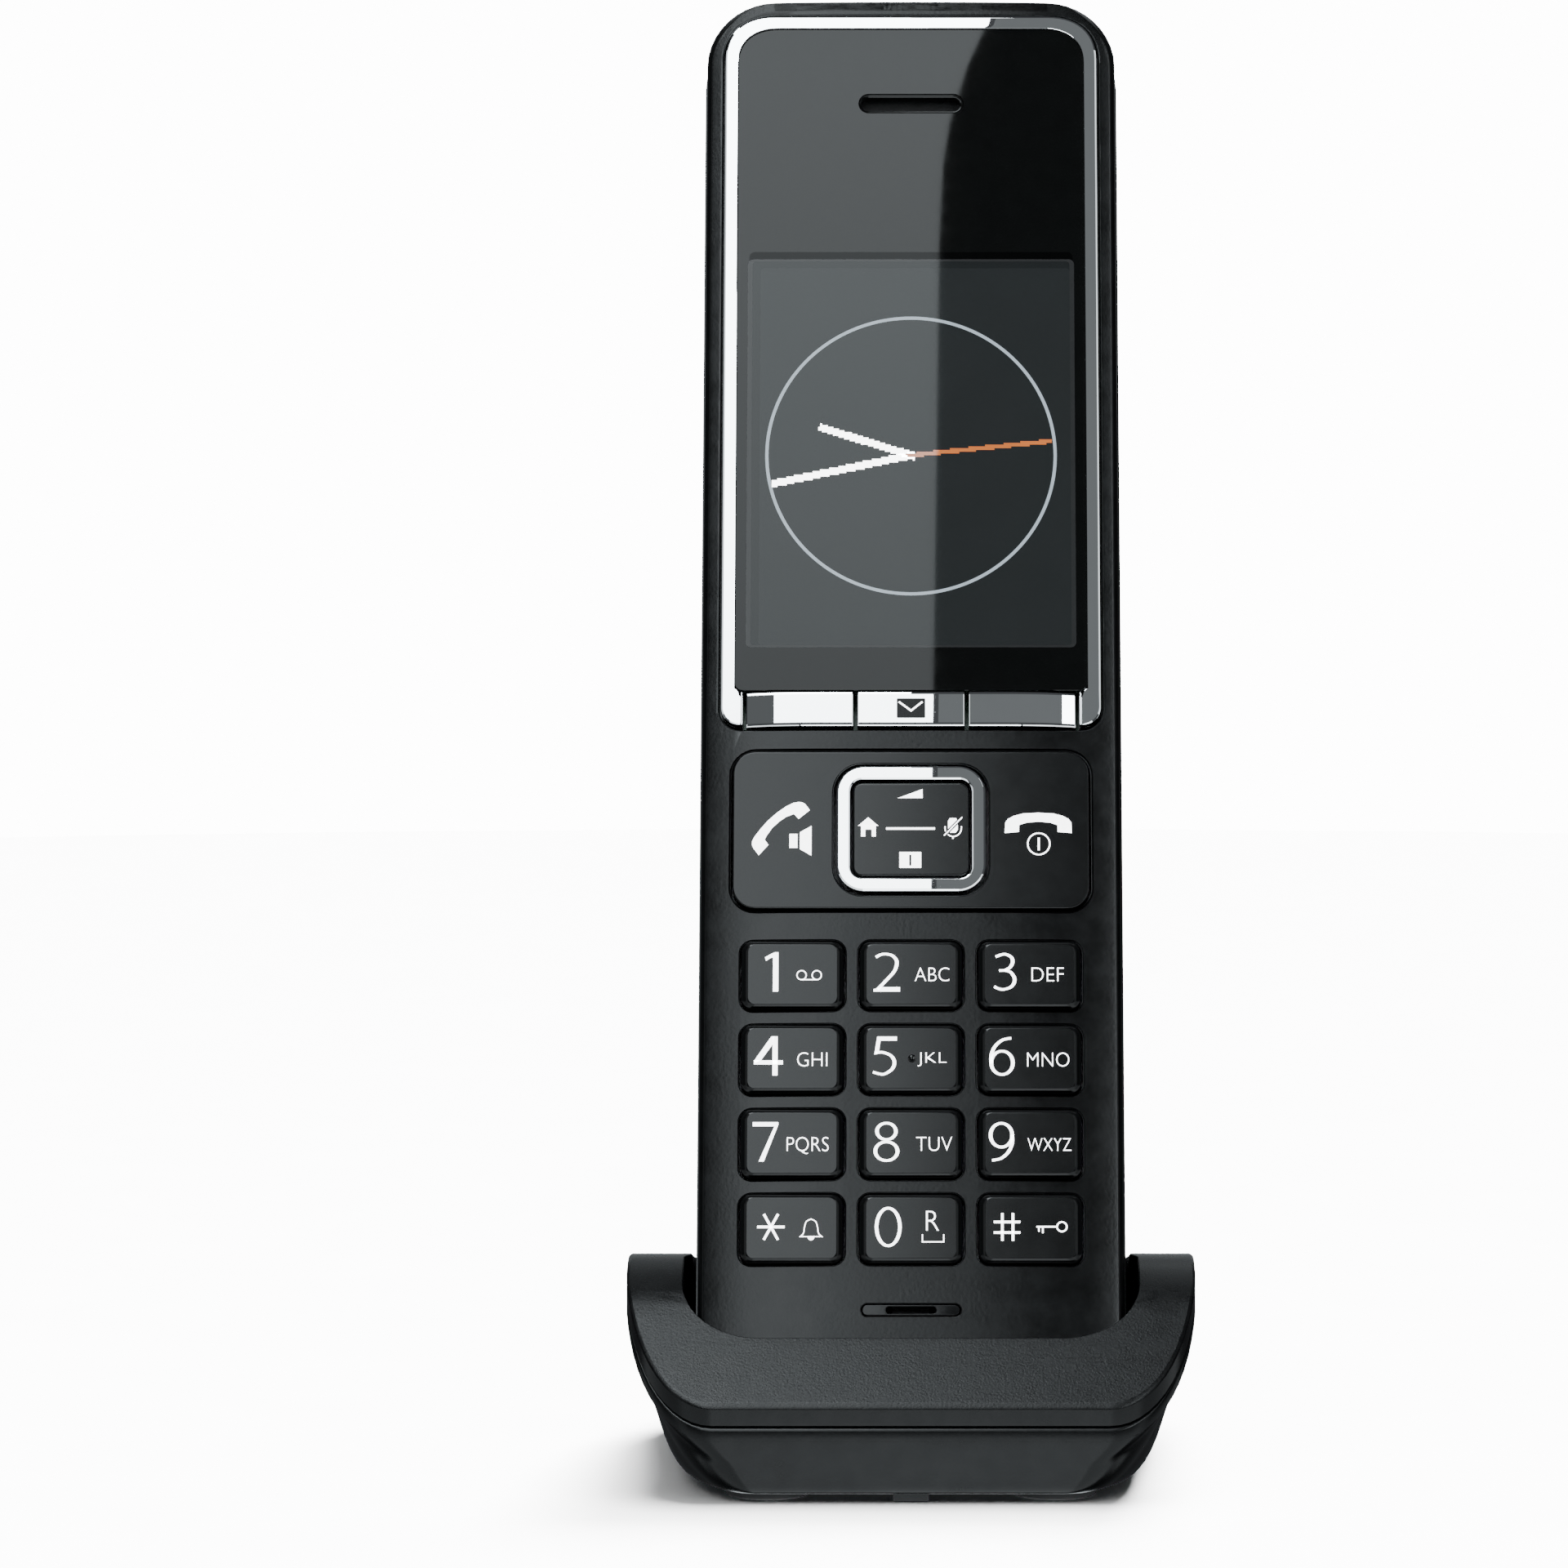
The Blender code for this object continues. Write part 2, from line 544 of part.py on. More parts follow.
def well_loops(grow, low, top_drop):
    """The pocket's prism along the leaning handset, from below its end up to the cradle's top."""
    front, back = POCKET_FRONT - grow, POCKET_BACK + grow
    corner = (POCKET_CORNER[0] + grow, POCKET_CORNER[1] + grow)
    section = whole(half_outline(POCKET_HALF + grow, front, back, corner, (5.0 + grow, 5.0 + grow)))
    sine, cosine = math.sin(LEAN), math.cos(LEAN)
    loops = [[], []]
    for x, s in section:
        foot = (HANDSET_AT[0] + s * cosine + low * sine, HANDSET_AT[1] - s * sine + low * cosine)
        rise = 40.0
        if top_drop is not None:
            near, far = 0.0, 40.0
            for _ in range(40):
                rise = (near + far) / 2
                above = foot[1] + rise * cosine > profile(foot[0] + rise * sine) - top_drop
                near, far = (near, rise) if above else (rise, far)
        loops[0].append((x, *foot))
        loops[1].append((x, foot[0] + rise * sine, foot[1] + rise * cosine))
    return loops


def cradle_shells(parent, handset):
    cover = mesh_object("cradle_top_cover",
                        [[under_top(plan(0), 0), under_top(plan(0), RIM), under_top(plan(WALL), RIM),
                          under_top(plan(WALL), COVER_WALL)]], "matte_black", parent)
    combine(cover, mesh_object("well", [well_loops(WELL_WALL, POCKET_FLOOR - WELL_WALL, 0.8)],
                               "matte_black", parent), "UNION")
    for side in (-1, 1):
        height = profile(SCREW_AT[1]) - 0.8
        pillar = cylinder(f"pillar_{side}", 2.7, height - 3.6,
                          (side * SCREW_AT[0], SCREW_AT[1], (height + 3.6) / 2), "matte_black", parent, "Z")
        combine(cover, pillar, "UNION")
        pilot = cylinder(f"pilot_{side}", 1.4, 10.0, (side * SCREW_AT[0], SCREW_AT[1], 5.0),
                         "matte_black", parent, "Z", 12)
        combine(cover, pilot)
    combine(cover, mesh_object("pocket", [well_loops(0.0, POCKET_FLOOR, None)], "matte_black", parent))
    for side in (-1, 1):
        combine(cover, cylinder(f"pin_hole_{side}", 1.25, 8.0, (side * CONTACT_X, CONTACT_Y, -2.0),
                                "matte_black", handset, "Z", 12))

    seam = RIM + GAP

    def tub_loop(inset, turn, floor):
        """One loop of the lower shell's rounded side, at a turn from 0 at the underside to 90 degrees."""
        share = math.sin(turn)
        return [(x, y, max(floor, BASE_Z + min(BASE_ROUND, profile(y) - seam - BASE_Z - 0.4)
                           * (1 - math.cos(turn)))) for x, y in plan(inset, share)]

    outer = [tub_loop(0, math.radians(18 * step), BASE_Z) for step in range(6)]
    inner = [tub_loop(TUB_WALL, math.radians(angle), TUB_FLOOR) for angle in (85, 60, 36)]
    tub = mesh_object("cradle_bottom_shell",
                      [outer + [under_top(plan(0), seam), under_top(plan(TUB_WALL), seam)] + inner],
                      "gloss_black", parent)
    combine(tub, block("rest_tab", (-1.9, 1.6, 0.15), (1.9, 6.0, 1.4), "gloss_black", parent), "UNION")
    for side in (-1, 1):
        place = (side * SCREW_AT[0], SCREW_AT[1])
        combine(tub, cylinder(f"screw_seat_{side}", 4.0, 2.0, (*place, 2.2), "gloss_black", parent, "Z"), "UNION")
        combine(tub, cylinder(f"counterbore_{side}", 2.8, 2.0, (*place, 1.0), "gloss_black", parent, "Z"))
        combine(tub, cylinder(f"clearance_{side}", 1.4, 8.0, (*place, 2.0), "gloss_black", parent, "Z", 12))
    combine(tub, block("plug_opening", (-4.2, 52, 2.9), (4.2, 66, 6.5), "gloss_black", parent))


def cradle_pieces(parent, handset):
    for name, (x, y) in FEET.items():
        cylinder(name, FOOT_RADIUS, 0.7, (x, y, 0.35), "rubber", parent, "Z", 24)
    for side, label in ((-1, "left"), (1, "right")):
        place = (side * SCREW_AT[0], SCREW_AT[1])
        screw = cylinder(f"cradle_screw_{label}", 2.4, 0.9, (*place, 1.45), "metal", parent, "Z", 16)
        shank = cylinder(f"shank_{label}", 1.1, 7.8, (*place, 5.5), "metal", parent, "Z", 10)
        combine(screw, shank, "UNION")
        pin_low = POCKET_FLOOR - 4.5
        cylinder(f"charge_pin_{label}", 0.9, -GAP - pin_low,
                 (side * CONTACT_X, CONTACT_Y, (pin_low - GAP) / 2), "metal", handset, "Z", 12)
    block("charge_board", (-16, 4.5, 2.9), (16, 17, 3.8), "circuit_board", parent)
    socket = block("power_socket", (-5.4, 45.5, 2.7), (5.4, 56.6, 7.3), "gloss_black", parent)
    combine(socket, block("socket_slot", (-3.9, 48, 3.2), (3.9, 60, 6.2), "gloss_black", parent))


def main():
    for old in list(bpy.data.objects):
        bpy.data.objects.remove(old)
    cradle = bpy.data.objects.new("cradle_frame", None)
    bpy.context.scene.collection.objects.link(cradle)
    cradle.location = (0, -ORIGIN_FROM_FRONT * MM, 0)
    handset = bpy.data.objects.new("handset_frame", None)
    bpy.context.scene.collection.objects.link(handset)
    handset.location = Vector((0, HANDSET_AT[0] - ORIGIN_FROM_FRONT, HANDSET_AT[1])) * MM
    handset.rotation_euler = (-LEAN, 0, 0)

    front_shell(handset)
    rear_shell(handset)
    battery_cover(handset)
    window_pieces(handset)
    keys(handset)
    navigation(handset)
    small_face_pieces(handset)
    inner_pieces(handset)
    cradle_shells(cradle, handset)
    cradle_pieces(cradle, handset)


main()
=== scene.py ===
"""Looks for the cordless phone in its charging cradle. Lengths are in millimetres unless said otherwise.

A piece is modelled in one of two places: HANDSET (x to its right, y from its face inwards, z up its
length) or CRADLE (x to the right, y from its front edge to its rear, z up from the table).
"""

import json
from math import atan2, copysign, cos, dist, pi, radians, sin, sqrt, tan

import bmesh
import bpy
from mathutils import Matrix, Vector


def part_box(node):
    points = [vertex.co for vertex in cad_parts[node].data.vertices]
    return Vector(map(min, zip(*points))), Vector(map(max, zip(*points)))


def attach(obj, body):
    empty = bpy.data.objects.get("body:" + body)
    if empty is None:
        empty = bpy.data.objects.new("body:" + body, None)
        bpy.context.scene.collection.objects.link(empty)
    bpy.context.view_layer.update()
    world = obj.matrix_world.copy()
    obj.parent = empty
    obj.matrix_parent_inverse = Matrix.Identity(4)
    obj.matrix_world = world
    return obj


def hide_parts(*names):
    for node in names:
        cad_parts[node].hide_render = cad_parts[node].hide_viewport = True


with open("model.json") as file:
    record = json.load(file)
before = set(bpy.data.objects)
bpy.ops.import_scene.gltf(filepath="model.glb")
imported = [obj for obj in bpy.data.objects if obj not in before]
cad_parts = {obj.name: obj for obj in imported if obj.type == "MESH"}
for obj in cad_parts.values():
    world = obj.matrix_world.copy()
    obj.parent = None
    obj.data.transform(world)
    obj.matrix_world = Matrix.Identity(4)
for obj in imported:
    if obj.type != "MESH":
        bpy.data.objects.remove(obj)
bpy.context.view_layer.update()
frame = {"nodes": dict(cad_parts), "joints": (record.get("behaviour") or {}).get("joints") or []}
nodes = frame["nodes"]
MM = 0.001


# ---------------- where things are

def turned_box(name, turn):
    """Lowest and highest corner of a CAD node, in millimetres, in a turned frame."""
    points = [turn @ vertex.co for vertex in nodes[name].data.vertices]
    low = [min(point[i] for point in points) / MM for i in range(3)]
    high = [max(point[i] for point in points) / MM for i in range(3)]
    return Vector(low), Vector(high)


lift_axis = next(joint["axis"] for joint in frame["joints"] if joint["name"] == "handset_lift")
LEAN = atan2(lift_axis[1], lift_axis[2])
TURN = Matrix.Rotation(-LEAN, 4, "X")
shell_low = turned_box("handset_front_shell", TURN.inverted())[0]
HANDSET = TURN @ Matrix.Translation(Vector((0, shell_low.y, shell_low.z)) * MM)
CRADLE = Matrix.Translation((0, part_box("cradle_bottom_shell")[0].y, 0))


def centre(name):
    """A node's middle in the handset's own frame, as (x, z)."""
    low, high = turned_box(name, HANDSET.inverted())
    return (low.x + high.x) / 2, (low.z + high.z) / 2


LENGTH = 159
HALF_WIDTH = 23.25
BOTTOM_THICKNESS = 15
GREATEST_THICKNESS = 25
TOP_THICKNESS = 19
THICKEST_AT = 108
PARTING = 9
FACE_WALL = 2.2
FRONT_REVEAL = 0.4  # how much narrower the front shell is than the rear one

FRAME_HALF = 20.72
DOME = 3.3e-6  # how fast the face falls away towards its sides, times x to the fourth
FRAME_TOP = 155.65
FRAME_BOTTOM = 73.3
FRAME_BAND = 1.4
LENS_BOTTOM = 77.55
LENS_Y = -0.15
PANEL = (39.2, 18)
PANEL_Z = centre("call_end_rocker")[1]
NAV_HOLE = (16.9, 14.7)
KEY_HOLE = (11.5, 7.9)
SOFT_KEY_Z = centre("message_key")[1]
MIC_Z = centre("microphone_insert")[1]
EAR_Z = centre("earpiece_grille")[1]
SPEAKER_Z = 131
COVER = (16.5, 38, 109)  # half width, bottom and top of the battery cover

CRADLE_HALF = 30.6
CRADLE_DEPTH = 60
FRONT_EDGE_Z = 10.5
ROLL_START = 9.6
ROLL_RADIUS = 13.4
REAR_SLOPE = radians(19)
SEAM_DROP = 2.2
BASE_Z = 1
HANDSET_AT = (5.2, 11.2)
POCKET = (24.4, -0.55, 17.6)  # half width, front wall and rear wall, across the handset's thickness
POCKET_NARROWING = 0.031  # share of the width that the pocket loses behind the handset's widest place
TUB_SIDE_Z = 17  # where the bottom shell's sides start to curve in


# ---------------- materials

def fill(node, values):
    """Sets a node's own sockets."""
    for socket, value in values.items():
        node.inputs[socket].default_value = value


def coating(name, colour, roughness, metallic=0, ior=1.5, vary=0.25, scale=400, bump=0,
            bump_scale=2500, emission=0, rough_vary=0.06):
    """Moulded or plated finish: its colour and gloss vary a little and its surface has a fine grain."""
    made = bpy.data.materials.new(name)
    made.use_nodes = True
    add, link = made.node_tree.nodes.new, made.node_tree.links.new
    bsdf = made.node_tree.nodes["Principled BSDF"]
    fill(bsdf, {"Metallic": metallic, "IOR": ior})
    place = add("ShaderNodeTexCoord")

    def noise(size, detail, grain):
        texture = add("ShaderNodeTexNoise")
        fill(texture, {"Scale": size, "Detail": detail, "Roughness": grain})
        link(place.outputs["Object"], texture.inputs["Vector"])
        return texture

    cloud = noise(scale, 4, 0.5)
    ramp = add("ShaderNodeValToRGB")
    for stop, at, factor in zip(ramp.color_ramp.elements, (0.3, 0.7), (1 - vary, 1 + vary)):
        stop.position = at
        stop.color = (*[min(1, c * factor) for c in colour], 1)
    link(cloud.outputs["Fac"], ramp.inputs["Fac"])
    link(ramp.outputs["Color"], bsdf.inputs["Base Color"])
    gloss = add("ShaderNodeMapRange")
    fill(gloss, {"To Min": max(0, roughness - rough_vary), "To Max": roughness + rough_vary})
    link(cloud.outputs["Fac"], gloss.inputs["Value"])
    link(gloss.outputs["Result"], bsdf.inputs["Roughness"])
    if emission:
        link(ramp.outputs["Color"], bsdf.inputs["Emission Color"])
        fill(bsdf, {"Emission Strength": emission})
    if bump:
        raised = add("ShaderNodeBump")
        fill(raised, {"Strength": 1, "Distance": bump * MM})
        link(noise(bump_scale, 3, 0.6).outputs["Fac"], raised.inputs["Height"])
        link(raised.outputs["Normal"], bsdf.inputs["Normal"])
    return made


TEXTURED = coating("textured_black", (0.0085, 0.0094, 0.0102), 0.2, ior=1.25, bump=0.01,
                   bump_scale=2600)
CRADLE_TOP = coating("cradle_grain", (0.0065, 0.0073, 0.008), 0.27, ior=1.25, bump=0.018,
                     bump_scale=4200)
TUB = coating("cradle_satin", (0.008, 0.009, 0.0096), 0.25, ior=1.27, vary=0.15, bump=0.004)
SMOOTH = coating("smooth_black", (0.006, 0.0068, 0.0075), 0.15, ior=1.27, vary=0.15, rough_vary=0.02)
GLOSS = coating("gloss_black", (0.004, 0.0045, 0.005), 0.06, ior=1.27, vary=0.15, rough_vary=0.02)
KEYS = coating("key_black", (0.009, 0.01, 0.0106), 0.14, ior=1.27, vary=0.12, rough_vary=0.02)
CHROME = coating("chrome", (0.95, 0.96, 0.97), 0.006, metallic=1, vary=0.01, rough_vary=0.004)
LENS = coating("lens_black", (0.009, 0.0101, 0.0101), 0.02, ior=1.22, vary=0.1, rough_vary=0.01)
GLASSY = {"roughness": 0.02, "rough_vary": 0.005}
SCREEN = coating("screen_dark", (0.054, 0.063, 0.066), ior=1.22, vary=0.03, scale=150, **GLASSY)
# Painted shadow: a darker screen tone that stands in for the shade the window's recess casts on the display.
SCREEN_PAINTED_SHADOW = coating("screen_painted_shadow", (0.04, 0.047, 0.049), ior=1.22, vary=0.03, scale=150, **GLASSY)
SCREEN_EDGE = coating("screen_edge", (0.07, 0.075, 0.078), ior=1.22, vary=0.05, **GLASSY)
SCREEN_SHADE = coating("screen_shade", (0.004, 0.0044, 0.0046), ior=1.17, vary=0.1, **GLASSY)
CLOCK_RING = coating("clock_ring", (0.31, 0.37, 0.42), ior=1.22, vary=0.04, scale=900, emission=1.4,
                     **GLASSY)
CLOCK_WHITE = coating("clock_white", (0.9, 0.9, 0.9), vary=0.03, emission=8, **GLASSY)
CLOCK_ORANGE = coating("clock_orange", (0.6, 0.165, 0.04), vary=0.05, emission=1, **GLASSY)
# Printed white that also glows: the glow is painted light, so the legends and marks read bright white.
GLOWING_INK = coating("printed_white_painted_glow", (0.82, 0.83, 0.84), 0.35, vary=0.04, scale=1500, emission=7)
DARK_INK = coating("printed_dark", (0.012, 0.013, 0.014), 0.2, ior=1.22, vary=0.1, scale=1500)
RUBBER = coating("black_rubber", (0.02, 0.02, 0.021), 0.62, bump=0.02)
MESH = coating("dark_mesh", (0.004, 0.004, 0.0045), 0.7, bump=0.05, bump_scale=3500)
METAL = coating("contact_metal", (0.75, 0.7, 0.6), 0.22, metallic=1, vary=0.08, bump=0.004)
SILICONE = coating("silicone_grey", (0.3, 0.31, 0.32), 0.55, vary=0.08, bump=0.01)
BOARD = coating("solder_mask", (0.01, 0.1, 0.04), 0.32, vary=0.2, bump=0.01)
SLEEVE = coating("cell_sleeve", (0.08, 0.24, 0.13), 0.3, vary=0.1, bump=0.004)
FLOOR_ALBEDO = 0.86
FLOOR = coating("pale_floor", [FLOOR_ALBEDO] * 3, 0.55, vary=0.01, scale=60)


# ---------------- building pieces

def cos_sin(degrees):
    return cos(radians(degrees)), sin(radians(degrees))


def half_outline(half_width, low, high, low_radii, high_radii, stations=(), steps=10):
    """Right half of a rounded outline, as (x, along) from its low end to its high end."""
    points = []
    corners = ((low_radii, low + low_radii[1], -90), (high_radii, high - high_radii[1], 0))
    for radii, middle, start in corners:
        for step in range(steps + 1):
            across, up = cos_sin(start + 90 * step / steps)
            points.append((half_width - radii[0] + radii[0] * across, middle + radii[1] * up))
    return points[: steps + 1] + [(half_width, at) for at in stations] + points[steps + 1:]


def whole(half):
    return half + [(-x, along) for x, along in reversed(half)]


def circle(at, radius, step=15):
    """Points of a circle, from its lowest one, at every step in degrees."""
    turns = map(cos_sin, range(-90, 270, step))
    return [(at[0] + radius * across, at[1] + radius * up) for across, up in turns]


def add_rows(bm, rows, split=None, is_ring=False, is_capped=True):
    """Joins equal loops into a surface. Faces from row number split onwards take the second material."""
    rings = [[bm.verts.new(Vector(point) * MM) for point in row] for row in rows]
    count = len(rings[0])

    def add_face(number, *corners):
        face = bm.faces.new(corners)
        if split is not None and number >= split:
            face.material_index = 1

    pairs = list(zip(rings, rings[1:])) + ([(rings[-1], rings[0])] if is_ring else [])
    for number, (first, second) in enumerate(pairs):
        for i in range(count):
            j = (i + 1) % count
            add_face(number, first[i], first[j], second[j], second[i])
    if is_capped and not is_ring:
        for ring, number in ((rings[0], 0), (rings[-1], len(rows))):
            for i in range(count // 2 - 1):
                add_face(number, ring[i], ring[i + 1], ring[count - 2 - i], ring[count - 1 - i])


def add_object(name, data, place=Matrix.Identity(4)):
    made = bpy.data.objects.new(name, data)
    made.matrix_world = place
    bpy.context.scene.collection.objects.link(made)
    return made


def final_mesh(target):
    """The target's mesh after its modifiers, or the mesh of its text."""
    bpy.context.view_layer.update()
    return bpy.data.meshes.new_from_object(target.evaluated_get(bpy.context.evaluated_depsgraph_get()))


def finish_mesh(name, bm, materials, place, sharp=30, recalculate=True):
    if recalculate:
        bmesh.ops.recalc_face_normals(bm, faces=bm.faces)
    mesh = bpy.data.meshes.new(name)
    bm.to_mesh(mesh)
    bm.free()
    for material in materials:
        mesh.materials.append(material)
    mesh.shade_smooth()
    mesh.set_sharp_from_angle(angle=radians(sharp))
    return add_object(name, mesh, place)


def loft(name, parts, materials, place=HANDSET, split=None, is_ring=False, sharp=30):
    """A solid from one or more lists of loops."""
    bm = bmesh.new()
    for rows in parts:
        add_rows(bm, rows, split, is_ring)
    return finish_mesh(name, bm, materials, place, sharp)


def strip(name, rows):
    """Plated trim joined from equal rows, closed at its two ends."""
    bm = bmesh.new()
    add_rows(bm, rows, is_capped=False)
    bm.verts.ensure_lookup_table()
    bm.faces.new(bm.verts[:len(rows[0])])
    bm.faces.new(bm.verts[-len(rows[0]):])
    return finish_mesh(name, bm, [CHROME], HANDSET, 12)


def carve(target, *tools, operation="DIFFERENCE", sharp=30):
    """Applies Booleans with helper solids, which are then removed."""
    for tool in tools:
        modifier = target.modifiers.new("cut", "BOOLEAN")
        modifier.operation = operation
        modifier.object = tool
        modifier.solver = "EXACT"
    mesh = final_mesh(target)
    target.modifiers.clear()
    target.data = mesh
    mesh.shade_smooth()
    mesh.set_sharp_from_angle(angle=radians(sharp))
    for tool in tools:
        bpy.data.objects.remove(tool)


def shown(piece, body, *stands_for):
    """The piece moves with a body, is shown for CAD nodes, and has smooth highlights on its rounded edges."""
    piece.modifiers.new("normals", "WEIGHTED_NORMAL").keep_sharp = True
    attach(piece, body)
    if stands_for:
        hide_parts(*stands_for)


def facing(size, radius, at_z, depth, at_x=0, inset=0, steps=8):
    """Loop of a rounded rectangle that faces the user."""
    half_width, half_height = size[0] / 2 - inset, size[1] / 2 - inset
    corner = min(max(radius - inset, 0.08), half_width, half_height)
    radii = (corner, corner)
    half = half_outline(half_width, -half_height, half_height, radii, radii, (), steps)
    return [(at_x + x, depth, at_z + z) for x, z in whole(half)]


def rounded(size, radius, at_z, top, bottom, edge, at_x=0, steps=8):
    """Rows of a raised rounded plate from its top down, with a rounded edge."""
    rows = []
    for step in range(6):
        across, up = cos_sin(90 - 18 * step)
        rows.append(facing(size, radius, at_z, top + edge * (1 - up), at_x, edge * (1 - across), steps))
    return rows + [facing(size, radius, at_z, bottom, at_x, 0, steps)]


def trumpet(size, radius, at_z, edge, depth, at_x=0, start=-0.01):
    """Rows of a cutter whose mouth flares, so that the hole that it leaves has a rounded rim."""
    rows = [facing(size, radius, at_z, start - 0.6, at_x, -edge)]
    for step in range(6):
        across, up = cos_sin(90 - 18 * step)
        rows.append(facing(size, radius, at_z, start + edge * across, at_x, -edge * up))
    return rows + [facing(size, radius, at_z, depth, at_x)]


def cutter(name, *parts, place=HANDSET):
    return loft(name, parts, [], place)


def cradle_box(low, high):
    (x0, y0, z0), (x1, y1, z1) = low, high
    section = ((x0, z0), (x1, z0), (x1, z1), (x0, z1))
    return loft("box", [[[(x, y, z) for x, z in section] for y in (y0, y1)]], [], CRADLE)


# ---------------- printing

def bar(low_x, high_x, low_z, high_z):
    return [(low_x, low_z), (high_x, low_z), (high_x, high_z), (low_x, high_z)]


def neighbours(points, i, is_closed):
    """The points before and after a line's point. At an open end, the missing one is the point itself."""
    before = points[i - 1] if i or is_closed else points[i]
    after = points[(i + 1) % len(points)] if i < len(points) - 1 or is_closed else points[i]
    return before, after


def ribbon(points, width, is_closed=False):
    """Quads of a line of one width, or of a width at each point, mitred at its corners."""
    count = len(points)
    widths = width if isinstance(width, list) else [width] * count
    sides = []
    for i, (x, z) in enumerate(points):
        before, after = neighbours(points, i, is_closed)
        first = Vector((x - before[0], z - before[1]))
        second = Vector((after[0] - x, after[1] - z))
        first = (first if first.length else second).normalized()
        second = (second if second.length else first).normalized()
        normal = Vector((-(first + second).y, (first + second).x)).normalized()
        reach = widths[i] / 2 / max(0.35, normal.dot(Vector((-first.y, first.x))))
        sides.append(((x + normal.x * reach, z + normal.y * reach),
                      (x - normal.x * reach, z - normal.y * reach)))
    quads = []
    for i in range(count if is_closed else count - 1):
        (a, b), (c, d) = sides[i], sides[(i + 1) % count]
        quads.append([a, b, d, c])
    return quads


def arc(at, radii, start, end, steps=28):
    """Points of an elliptical arc, in degrees anticlockwise from its right."""
    turns = [cos_sin(start + (end - start) * i / steps) for i in range(steps + 1)]
    return [(at[0] + radii[0] * across, at[1] + radii[1] * up) for across, up in turns]


def bend(*knots, steps=10):
    """Points on a smooth curve through knots."""
    points = []
    ends = [knots[0], *knots, knots[-1]]
    for a, b, c, d in zip(ends, ends[1:], ends[2:], ends[3:]):
        for i in range(steps):
            t = i / steps
            points.append(tuple(0.5 * (2 * q + (r - p) * t + (2 * p - 5 * q + 4 * r - s) * t * t
                                       + (3 * q - p - 3 * r + s) * t ** 3)
                                for p, q, r, s in zip(a, b, c, d)))
    return points + [knots[-1]]


def moved(shapes, at):
    return [[(at[0] + x, at[1] + z) for x, z in shape] for shape in shapes]


def print_on(name, shapes, depth, body, material=GLOWING_INK):
    """Flat printing a hair above a face: each shape is a polygon of (x, z). Unless given another material, it
    is white ink that glows, which is painted light.
    """
    bm = bmesh.new()
    for shape in shapes:
        bm.faces.new([bm.verts.new(Vector((x, depth, z)) * MM) for x, z in shape])
    for face in bm.faces:
        face.normal_update()
        if face.normal.y > 0:
            face.normal_flip()
    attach(finish_mesh(name, bm, [material], HANDSET, recalculate=False), body)


def lettering(text, size, at):
    """Polygons of a word, stretched to a width and height about a centre."""
    curve = bpy.data.curves.new("word", "FONT")
    curve.body = text
    curve.resolution_u = 4
    curve.offset = -0.018
    word = add_object("word", curve)
    mesh = final_mesh(word)
    points = [vertex.co.copy() for vertex in mesh.vertices]
    low_x, high_x = min(p.x for p in points), max(p.x for p in points)
    low_y, high_y = min(p.y for p in points), max(p.y for p in points)
    if "Q" in text:
        low_y += (high_y - low_y) * 0.18
    shapes = []
    for polygon in mesh.polygons:
        shapes.append([(at[0] + ((points[i].x - low_x) / (high_x - low_x) - 0.5) * size[0],
                        at[1] + ((points[i].y - low_y) / (high_y - low_y) - 0.5) * size[1])
                       for i in polygon.vertices])
    bpy.data.objects.remove(word)
    bpy.data.meshes.remove(mesh)
    return shapes


HOOK = bend((0.84, 0.95), (0.51, 0.9), (0.24, 0.74), (0.11, 0.53), (0.11, 0.33))
BOWL = arc((0.5, 0.339), (0.395, 0.29), 0, 360)
STROKES = {  # centre lines inside a unit box
    "0": [arc((0.5, 0.5), (0.41, 0.45), 0, 360)],
    "2": [bend((0.085, 0.874), (0.27, 0.938), (0.46, 0.955), (0.7, 0.918), (0.86, 0.804), (0.875, 0.68),
               (0.774, 0.505), (0.5, 0.3), (0.15, 0.055))],
    "3": [bend((0.096, 0.884), (0.33, 0.937), (0.52, 0.947), (0.756, 0.87), (0.8, 0.738), (0.683, 0.609),
               (0.472, 0.545), (0.238, 0.535)),
          bend((0.46, 0.54), (0.73, 0.485), (0.888, 0.304), (0.756, 0.13), (0.426, 0.055), (0.188, 0.08),
               (0.04, 0.126))],
    "5": [bend((0.12, 0.583), (0.41, 0.6), (0.747, 0.51), (0.878, 0.346), (0.77, 0.17), (0.459, 0.05),
               (0.216, 0.065), (0.02, 0.104))],
    "6": [HOOK, BOWL],
    "8": [arc((0.5, 0.755), (0.345, 0.2), 0, 360), arc((0.5, 0.272), (0.405, 0.228), 0, 360)],
    "9": [[(1 - x, 1 - z) for x, z in HOOK], [(1 - x, 1 - z) for x, z in BOWL]],
    "*": [[(0, 0.5), (1, 0.5)], [(0.24, 0), (0.76, 1)], [(0.76, 0), (0.24, 1)]],
    "#": [[(0, 0.68), (1, 0.68)], [(0, 0.3), (1, 0.3)], [(0.32, 0), (0.32, 1)],
          [(0.72, 0), (0.72, 1)]],
}
